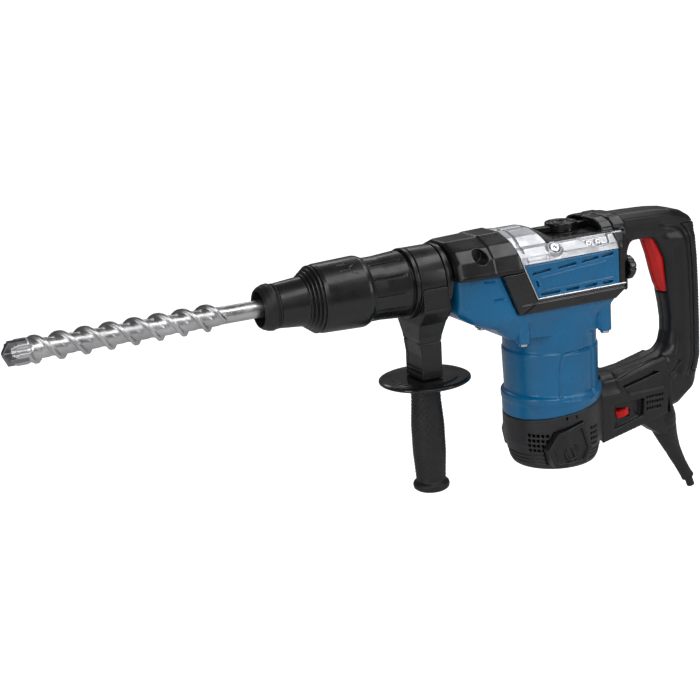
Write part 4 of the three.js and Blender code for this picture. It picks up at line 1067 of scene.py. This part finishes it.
def mode_knob():
    """Round knob with a wing on each side, a chamfered rim and a hollow hub."""
    space = Space((KNOB_X - 31, -17.5, 15.5), (KNOB_X + 31, 17.5, 35), 0.45)
    x, y, z = space.x - KNOB_X, space.y, space.z
    across = np.hypot(x, y)
    field = meet(across - 15.8, between(z, 24.0, 33.6), 1.3)
    wing = outline(np.abs(x), np.abs(y), [(0, 0), (0, 5.6), (29.4, 3.2), (29.4, 0)])
    wing = meet(wing, between(z, 25.2, 30.6), 0.8)
    field = unite(field, wing, 1.0)
    field = score(field, all_of(np.abs(across - 11.4) - 0.7, 32 - z), 0.5, 0.3)
    field = unite(field, meet(across - 6.6, between(z, 30, 34.4), 0.9), 0.8)
    field = carve(field, all_of(across - 3.9, 31.5 - z), 0.5)
    field = unite(field, meet(across - 5, between(z, 17, 31)))
    add_field("mode_knob", space, field, "mode_knob", "black_housing", GLOSS_BLACK)


# ------------------------------------------------------------------ motor housing
BARREL_R, BAND_R, CAP_R = 47.6, 50.4, 49.7
SEAM_SLOPE, SEAM_LEVEL = 0.15, -145.5


def seam(space):
    """Height above the slanting seam between the blue housing and the cap."""
    return (space.z - SEAM_LEVEL - SEAM_SLOPE * space.x) / math.hypot(1, SEAM_SLOPE)


def motor_body(x, y, z, across):
    """Funnel under the covers running into a round barrel with a band, and four screw bosses."""
    side = np.abs(y)
    profile = [(-119.2, 10), (62, 10), (62, -64), (44, -84), (-44, -84), (-57, -69), (-66.5, -63.6),
               (-75, -57), (-79, -53.3), (-88, -50.8), (-96.6, -47.3), (-105, -43), (-119.2, -33)]
    room = [(-119.2, 30), (-106, 37.5), (-84, 44), (-60, 47.5), (44, 47.5), (53, 42), (58, 30)]
    waist = [(-119.2, 26), (-106, 32), (-84, 37.5), (-60, 40.5), (22, 42), (37, 37), (44, 25)]
    sink = smooth(-z, 37, 62)
    plan = [outline(x, side, rounded(half + [(half[-1][0], -9), (-119.2, -9)], 8)) for half in (room, waist)]
    plan = plan[0] * (1 - sink) + plan[1] * sink
    body = meet(outline(x, z, rounded(profile, 6)), plan, 8)
    body = meet(body, -68.5 - z - 0.05 * x, 1.0)
    neck = meet(across - 46.4, between(z, -90, -40))
    wall = np.interp(z, [-150, -138, -128, -90], [CAP_R - 0.2, CAP_R - 0.2, BARREL_R - 0.8, BARREL_R])
    barrel = meet(across - wall.astype(np.float32), between(z, -165, -85.6), 1.2)
    field = unite(unite(body, neck, 1.6), barrel, 0.5)
    field = carve(field, all_of(46.7 - across, between(z, -85.6, -83.4)), 0.3)
    field = unite(field, meet(across - BAND_R, between(z, -138.4, -129.4), 2.4), 1.6)
    for place, out, bottom in (FRONT_BOSS, REAR_BOSS):
        boss = disc(x, side, (place, out), 6.6)
        field = unite(field, meet(boss, between(z, bottom, -42), 1.0), 1.6)
    return field


def motor_housing():
    """Blue housing: a scored blank panel and vents outside, and room for the motor and gears inside."""
    space = Space((-121, -53, -155), (64, 53, 6.5), 1.05)
    x, y, z = space.axes
    side, across = np.abs(y), np.hypot(x, y)
    field = motor_body(x, y, z, across)
    around = np.degrees(np.arctan2(-side, x)) * (BARREL_R * math.pi / 180)
    frame_line = [(-93, -133), (-93, -100), (-89, -86), (-51, -84), (-51, -130), (-56, -134)]
    panel = outline(around, z, rounded(frame_line, 5))
    field = score(field, all_of(np.abs(panel + 1.0) - 1.0, z + 84), 1.1, 0.5)
    field = score(field, panel, 0.45, 0.3)
    for start, top in ((-93, -2.4), (-85, -20.4)):
        vent = meet(between(x, start, start + 11), between(z, top - 1.8, top), 0.4)
        field = score(field, all_of(vent, 30 - side), 2.2, 0.3)
    rooms = (
        all_of(across - 44, z + 62),
        all_of(between(x, -60, 80), -26.3 - z),
        all_of(between(x, -60.7, 61.5), side - 37.5, between(z, -56, -10)),
        all_of(disc(y, z, (0, 0), 35.0), between(x, -76, -59)),
        all_of(disc(y, z, (0, 0), 24.5), between(x, -121, -75)),
        all_of(disc(x, y, (-52.8, 0), 24.5), between(z, -50.5, 0)),
        all_of(across - 12, between(z, -64, -54)),
        side_space(space),
        all_of(52.4 - x, 36.8 - side, -26.4 - z),
    )
    field = carve(field, any_of(rooms))
    field = meet(field, z - chin_line(x) + 0.15, 0.5)
    field = meet(field, -seam(space), 0.6)
    add_field("motor_housing", space, field, "housing", "blue_housing", BLUE)


BRUSH = [(-25, -164), (-33.5, -181), (-28.5, -199), (4, -198.5), (12, -184), (3.5, -156)]


def cap_radius(z):
    """Outer radius of the motor cap: a straight wall, a chamfer and a foot."""
    return np.interp(z, [-205, -199, -195, -179, -130], [41.5, 44.6, 45.4, CAP_R, CAP_R]).astype(np.float32)


def motor_cap():
    """Vented cap: straight wall, grooved chamfer and a flat foot."""
    space = Space((-54, -54, -206.5), (54, 54, -133), 0.85)
    x, y, z = space.axes
    across = np.hypot(x, y)
    radius = cap_radius(z)
    field = meet((across - radius) * 0.93, -205 - z, 1.6)
    for level in (-189.5, -193.7, -197.9):
        field = carve(field, all_of(np.abs(z - level) - 0.9, radius - 1.2 - across), 0.3)
    angle = np.degrees(np.arctan2(-np.abs(y), x))
    inside = np.interp(z, [-202, -192, -179], [34, 36, 46]).astype(np.float32)
    holes = [(-150 + 5.5 * column, -168 - 5.2 * row, 1.6, 1.5) for column in range(5) for row in range(4)]
    holes += [(-72 + 4.8 * column, -166 - 5.6 * row, 1.6, 1.5) for column in range(3) for row in range(4)]
    holes += [(turn, -151, 0.8, 1.9) for turn in (-104.8, -92.8)]
    vents = []
    for turn, level, width, height in holes:
        arc = np.abs(angle - turn) * (CAP_R * math.pi / 180)
        vents.append(all_of(arc - width, np.abs(z - level) - height))
    field = carve(field, all_of(any_of(vents), 40 - across), 0.2)
    seat = all_of(outline(x, z, BRUSH) - PLAY, 20 - np.abs(y), radius - 3.6 - across)
    rooms = (all_of(across - inside, -197 - z, 16 - across), all_of(across - 12, -190 - z), seat)
    field = carve(field, any_of(rooms))
    field = meet(field, seam(space) + PLAY, 0.6)
    add_field("motor_cap", space, field, "housing", "dark_grey_cap", GREY)


def brush_cover():
    """Six-sided cover over a carbon brush: raised frame, sunk middle and a slotted plug."""
    space = Space((-36, -55, -201), (14, -26, -153.5), 0.5)
    x, y, z = space.axes
    shape = outline(x, z, rounded(BRUSH, 2.5))
    face = y + 53.2 + 0.03 * np.abs(x + 9)
    field = meet(shape, -face, 1.8)
    field = meet(field, cap_radius(z) - 3.3 - np.hypot(x, y))
    field = all_of(field, np.hypot(x, y) - 56, y + 27)
    field = score(field, all_of(shape + 4.8, y + 45), 2.6, 0.9)
    plug = disc(x, z, (-11, -185.5), 8.2)
    field = unite(field, meet(plug, -52.2 - y, 0.9) + (y > -46) * 9, 0.5)
    field = score(field, all_of(np.abs(plug + 2.6) - 0.6, y + 48), 0.8, 0.3)
    slot = np.maximum(np.abs((x + 11) * 0.94 + (z + 185.5) * 0.34) - 1.0, plug + 3.4)
    field = carve(field, all_of(slot, y + 50.4), 0.2)
    add_sides("brush_cover", space, field, "housing", "dark_grey_cap", BLACK)


# ------------------------------------------------------------------ D-handle
BOW = [
    (43, -199), (43, -127), (70, -127), (92, -124.8), (112, -122), (127, -118), (135, -110.5), (138, -98),
    (138, -86), (136.3, -72), (133.5, -57), (130, -20), (120, 4), (92, 4), (88, -6), (86, -36), (65.3, -42),
    (65.3, 24), (57.4, 24), (57.4, 34), (95, 33.4), (123, 32.4), (140, 30.4), (152, 27.2), (162.5, 20.5),
    (169.8, 11), (173.2, -2), (175, -24), (176, -50), (176.8, -95), (176.5, -128), (173, -142),
    (166.5, -155), (157, -166.5), (146, -175), (128, -179), (98, -187),
]
BACK = BOW[20:36]
TRIGGER = [
    (92, 6), (112, 2), (118, -15), (122.3, -31.6), (126.6, -45.7), (130.5, -54), (135, -56), (138.5, -54),
    (143, -40), (141, -8), (136, 12), (122, 17), (94, 15),
]
ARM = [
    (43, -197.5), (98, -186.4), (127, -180), (130, -140), (126, -120), (122.8, -121.3), (65.7, -134),
    (69.5, -146), (43, -145.5),
]
SLIT = [(71.9, -140.3), (109.9, -132), (119, -134.4), (74.8, -143.4)]
LABEL = [(75.6, -145.2), (121, -135.8), (122.8, -140), (122.6, -151.7), (80.2, -151.3)]
POCKET = [(57.9, -159.5), (98, -158.8), (96.6, -176.5), (57.6, -186)]
DIAGONAL = 0.7071
TRIGGER_TURN, TRIGGER_HALF = math.radians(8), 9
BUTTON_AT = (-31, -16)
WHEEL = {"x": 73.0, "y": -11.6, "z": -170.0, "r": 9.0, "half": 3.5, "tilt": math.radians(-12)}
CABLE = [(129, -150), (130, -170), (133, -192), (140, -214), (151.5, -239), (165, -263.5), (169, -274)]


def swept_trigger(x, z, side, play):
    """The lever's space from rest to fully pulled."""
    pivot = joint_place("trigger_pull")
    u, v = x - pivot[0], z - pivot[2]
    shapes = []
    for turn in np.linspace(0, 1, 5) * TRIGGER_TURN:
        back_u = u * math.cos(turn) + v * math.sin(turn) + pivot[0]
        back_v = v * math.cos(turn) - u * math.sin(turn) + pivot[2]
        shapes.append(outline(back_u, back_v, rounded(TRIGGER, 3)))
    return all_of(any_of(shapes) - play, side - TRIGGER_HALF - 0.6)


def handle_bow(x, z, side, back):
    """The bow itself, with a rounder grip and two folds that follow its back."""
    bow = outline(x, z, rounded(BOW, 11, steps=4))
    grip = smooth(x, 112, 134) * smooth(z, -168, -140) * smooth(-z, -24, -2)
    field = meet(bow, side - 18, 3.5 + 11 * grip)
    bevel = (bow + side - 18) * DIAGONAL + 4.6
    field = meet(field, bevel - 9 * grip, 1.2)
    top = smooth(z, -2, 8) * smooth(x, 60, 66)
    field = field + 2.0 * smooth(-z, -27, -20) * smooth(side, 11, 15) * top
    face = smooth(side, 6, 12)
    run = smooth(z, -150, -138)
    field = field + 2.2 * np.exp(-(((back - 15.5) / 2.6) ** 2)) * face * smooth(x, 122, 132) * run
    return field + 2.0 * np.exp(-(((back - 30) / 4.0) ** 2)) * face * smooth(-z, -4, 14) * run


def handle_joins(field, x, y, z, side):
    """Adds the lower arm, the root, the ears beside the housing and the shoulder under the hood."""
    arm = meet(outline(x, z, rounded(ARM, 1.5)), side - 20, 1.0)
    facet = (side - 20 + 0.32 * (z + 145.5)) / 1.05
    arm_root = meet(outline(x, z, [(43, -150), (43, -126), (64, -126), (70, -146), (70, -150)]), facet, 0.8)
    field = unite(field, unite(arm, arm_root), 1.2)
    rib = np.abs(x - 129.6 + 0.06 * (z + 143)) - 1.9
    field = unite(field, meet(meet(rib, side - 20.8, 0.8), between(z, -181, -141), 0.8), 0.8)
    root_plan = [(65.3, -42), (69, -38), (73.5, -26), (78, -18), (78, 18), (73.5, 26), (69, 38), (65.3, 42)]
    root = meet(outline(x, y, rounded(root_plan, 4)), between(z, -38, 24), 4)
    field = unite(field, root, 7)
    field = meet(field, 65.3 - x - np.where(z > 24, 8, 0) - np.where(z < -42, 30, 0))
    ear = outline(side, z, [(30, -25.2), (48.6, -25.2), (49.6, 7.6), (46.2, 14.6), (38.8, 22), (30, 22.4)])
    ear = meet(ear, outline(x, side, [(52.6, 30), (52.6, 51), (57, 50.5), (62, 44), (67, 37), (72, 30)]), 1.0)
    field = unite(field, carve(ear, all_of(x - 65.5, side - 37.3)), 2.0)
    shoulder = outline(side, z, [(0, 20), (33, 22), (32, 28), (22, 34.6), (0, 35.4)])
    shoulder = meet(between(x, 57.4, 72), shoulder, 1.2)
    return unite(field, all_of(shoulder, 24.3 - z), 5.0)


def handle_details(field, x, z, side):
    """Cuts the slit, the blank label seat, the wheel's pocket, a crease and the vents; adds a wedge."""
    field = carve(field, all_of(outline(x, z, SLIT), 14.5 - side), 0.3)
    field = score(field, all_of(outline(x, z, LABEL), 17 - side), 1.2, 0.25)
    floor = 20 - 3.6 * np.clip((x - 57.8) / 9, 0, 1)
    field = carve(field, all_of(outline(x, z, POCKET), floor - side), 0.3)
    thumb = all_of(disc(x, z, (97.5, -167), 10.5), outline(x, z, POCKET))
    field = carve(field, all_of(thumb, 13.5 - side), 0.4)
    crease = near_line(x, z, np.array([(131, -141), (138.5, -136.5), (146, -129)], float)) - 1.2
    field = score(field, all_of(crease, 10 - side), 2.4, 0.4)
    vents = []
    for row, columns in enumerate((7, 7, 6)):
        for column in range(columns):
            place = (102 + 3.1 * column, -158.6 - 6.1 * row)
            vents.append(all_of(np.abs(x - place[0]) - 0.95, np.abs(z - place[1]) - 1.6))
    field = carve(field, all_of(any_of(vents), 16 - side), 0.2)
    wedge = [(96, -182), (98.5, -187), (120, -203.5), (127, -211), (136, -199), (134, -176)]
    return unite(field, meet(outline(x, z, wedge), side - 14, 4), 1.5)


def handle_clearances(field, x, y, z, side):
    """Cuts the room for the motor cap, trigger, switch, electronics, button, wheel and cable."""
    u = (x - WHEEL["x"]) * math.cos(WHEEL["tilt"]) + (z - WHEEL["z"]) * math.sin(WHEEL["tilt"])
    w = (z - WHEEL["z"]) * math.cos(WHEEL["tilt"]) - (x - WHEEL["x"]) * math.sin(WHEEL["tilt"])
    boot_line = near_line(x, z, rounded(CABLE[1:4], 10, False))
    rooms = (
        disc(x, y, (0, 0), CAP_R + 0.5) + (z > -100) * 20,
        swept_trigger(x, z, side, 0.7),
        all_of(between(x, 152.7, 166.3), side - 9.3, between(z, -48.3, -9.7)),
        all_of(between(x, 59.7, 104.3), side - 10.3, between(z, -152.3, -135.7)),
        all_of(disc(y, z, BUTTON_AT, 12.4), between(x, 60, 90)),
        all_of(np.hypot(u, y - WHEEL["y"]) - WHEEL["r"] - 0.9, np.abs(w) - WHEEL["half"] - 0.6),
        all_of(np.hypot(boot_line, y) - 13.6, z + 168.5),
        np.hypot(near_line(x, z, np.array(CABLE[:2], float)), y) - 4.6,
        all_of(between(x, 118, 146), side - 13, between(z, -168, -156)),
    )
    return carve(field, any_of(rooms))


def handle():
    """The D-handle as two shells and a soft strip round its back."""
    space = Space((42, -49, -205), (179, 49, 37), 1.1)
    x, y, z = space.axes
    side = np.abs(y)
    back = near_line(x, z, rounded(BACK, 10, False, 4))
    field = handle_joins(handle_bow(x, z, side, back), x, y, z, side)
    field = handle_clearances(handle_details(field, x, z, side), x, y, z, side)
    strip = all_of(meet(back - 12.8, between(z, -142, 14), 1.0), 150 - x)
    skin = all_of(strip, -field - 3.4)
    ribs = 0.28 * np.cos(z * (2 * np.pi / 3.4)) * smooth(-back, -7.5, -5.5)
    pad = meet(field + ribs, all_of(strip + 0.2, -field - 3.2), 0.4)
    add_field("grip_pad", space, pad, "housing", "soft_rubber", RUBBER)
    field = carve(field, skin, 0.3)
    for name, half in (("left", y), ("right", -y)):
        shell = meet(field, half + 0.12, 0.5)
        add_field("handle_shell_" + name, space, shell, "housing", "black_housing", HANDLE_BLACK)


def trigger():
    """Red lever with a raised spine along its front."""
    space = box_space("trigger", 0.55)
    x, y, z = space.axes
    shape = outline(x, z, rounded(TRIGGER, 3))
    field = meet(shape, np.abs(y) - TRIGGER_HALF, 2.4)
    front = near_line(x, z, rounded(TRIGGER[:6], 4, False))
    bevel = (np.abs(y) - TRIGGER_HALF + (7.5 - front)) * DIAGONAL
    field = meet(field, bevel - 1.0, 1.0)
    add_field("trigger", space, field, "trigger", "red_control", RED)


def lock_button():
    """Fluted round button on the rear of the housing."""
    profile = [(69.5, 0), (69.5, 12), (75.5, 12), (79, 8.5), (78, 5.5), (77.6, 0)]

    def flutes(along, radii, angle):
        depth = 1.5 * np.clip(np.cos(8 * angle) - 0.45, 0, 1) / 0.55
        return radii - depth * smooth(radii, 6.5, 10)

    add_turned("lock_button", "lock_button", "black_housing", GLOSS_BLACK, profile,
               centre=BUTTON_AT, radius=1.4, segments=160, step=0.8, relief=flutes)


def speed_wheel():
    """Toothed thumb wheel, tilted with its pocket."""
    space = Space((-10.5, -10.5, -4.5), (10.5, 10.5, 4.5), 0.32)
    x, y, z = space.axes
    across = np.hypot(x, y)
    teeth = 8.95 - 0.75 * (np.cos(20 * np.arctan2(y, x)) < -0.2)
    field = meet(across - teeth, np.abs(z) - 3.4, 0.5)
    points, quads = surface(space, field)
    turn = WHEEL["tilt"]
    matrix = np.array([[math.cos(turn), 0, math.sin(turn)], [0, 1, 0], [-math.sin(turn), 0, math.cos(turn)]])
    points = points @ matrix.T + (WHEEL["x"], WHEEL["y"], WHEEL["z"])
    add_piece("speed_wheel", points, quads.tolist(), "speed_wheel", "red_control", RED)


BOOT_AT = [0.0, 0.05, 0.1, 0.18, 0.26, 0.3, 0.31, 0.42, 0.6, 0.8, 0.95, 1.0]
BOOT_R = [11.0, 13.0, 14.4, 15.2, 14.4, 13.0, 13.4, 11.2, 8.3, 6.7, 6.4, 6.9]


def cable():
    """Cable with a ribbed rubber boot: a ball collar, then a long taper."""
    mesh = swept(CABLE, lambda t: 4.2, 32, 90)
    add_piece("power_cable", *mesh, "housing", "soft_rubber", RUBBER)

    def boot(t):
        return float(np.interp(t, BOOT_AT, BOOT_R))

    mesh = swept([(130.2, -172)] + CABLE[2:6], boot, 48, 120)
    add_piece("cable_boot", *mesh, "housing", "soft_rubber", RUBBER)


# ------------------------------------------------------------------ build
BUILD = (
    finish_frame, camera, studio, drill_bit, carbide_head, chuck, locking_sleeve, barrel_sleeve,
    clamp_band, handle_bracket, hand_guard, side_grip, nose_housing, gear_housing, housing_screws,
    side_cover, side_trim, painted_highlight_strips, top_cover, mode_knob, motor_housing, motor_cap,
    brush_cover, handle, trigger, lock_button, speed_wheel, cable,
)
for build in BUILD:
    build()
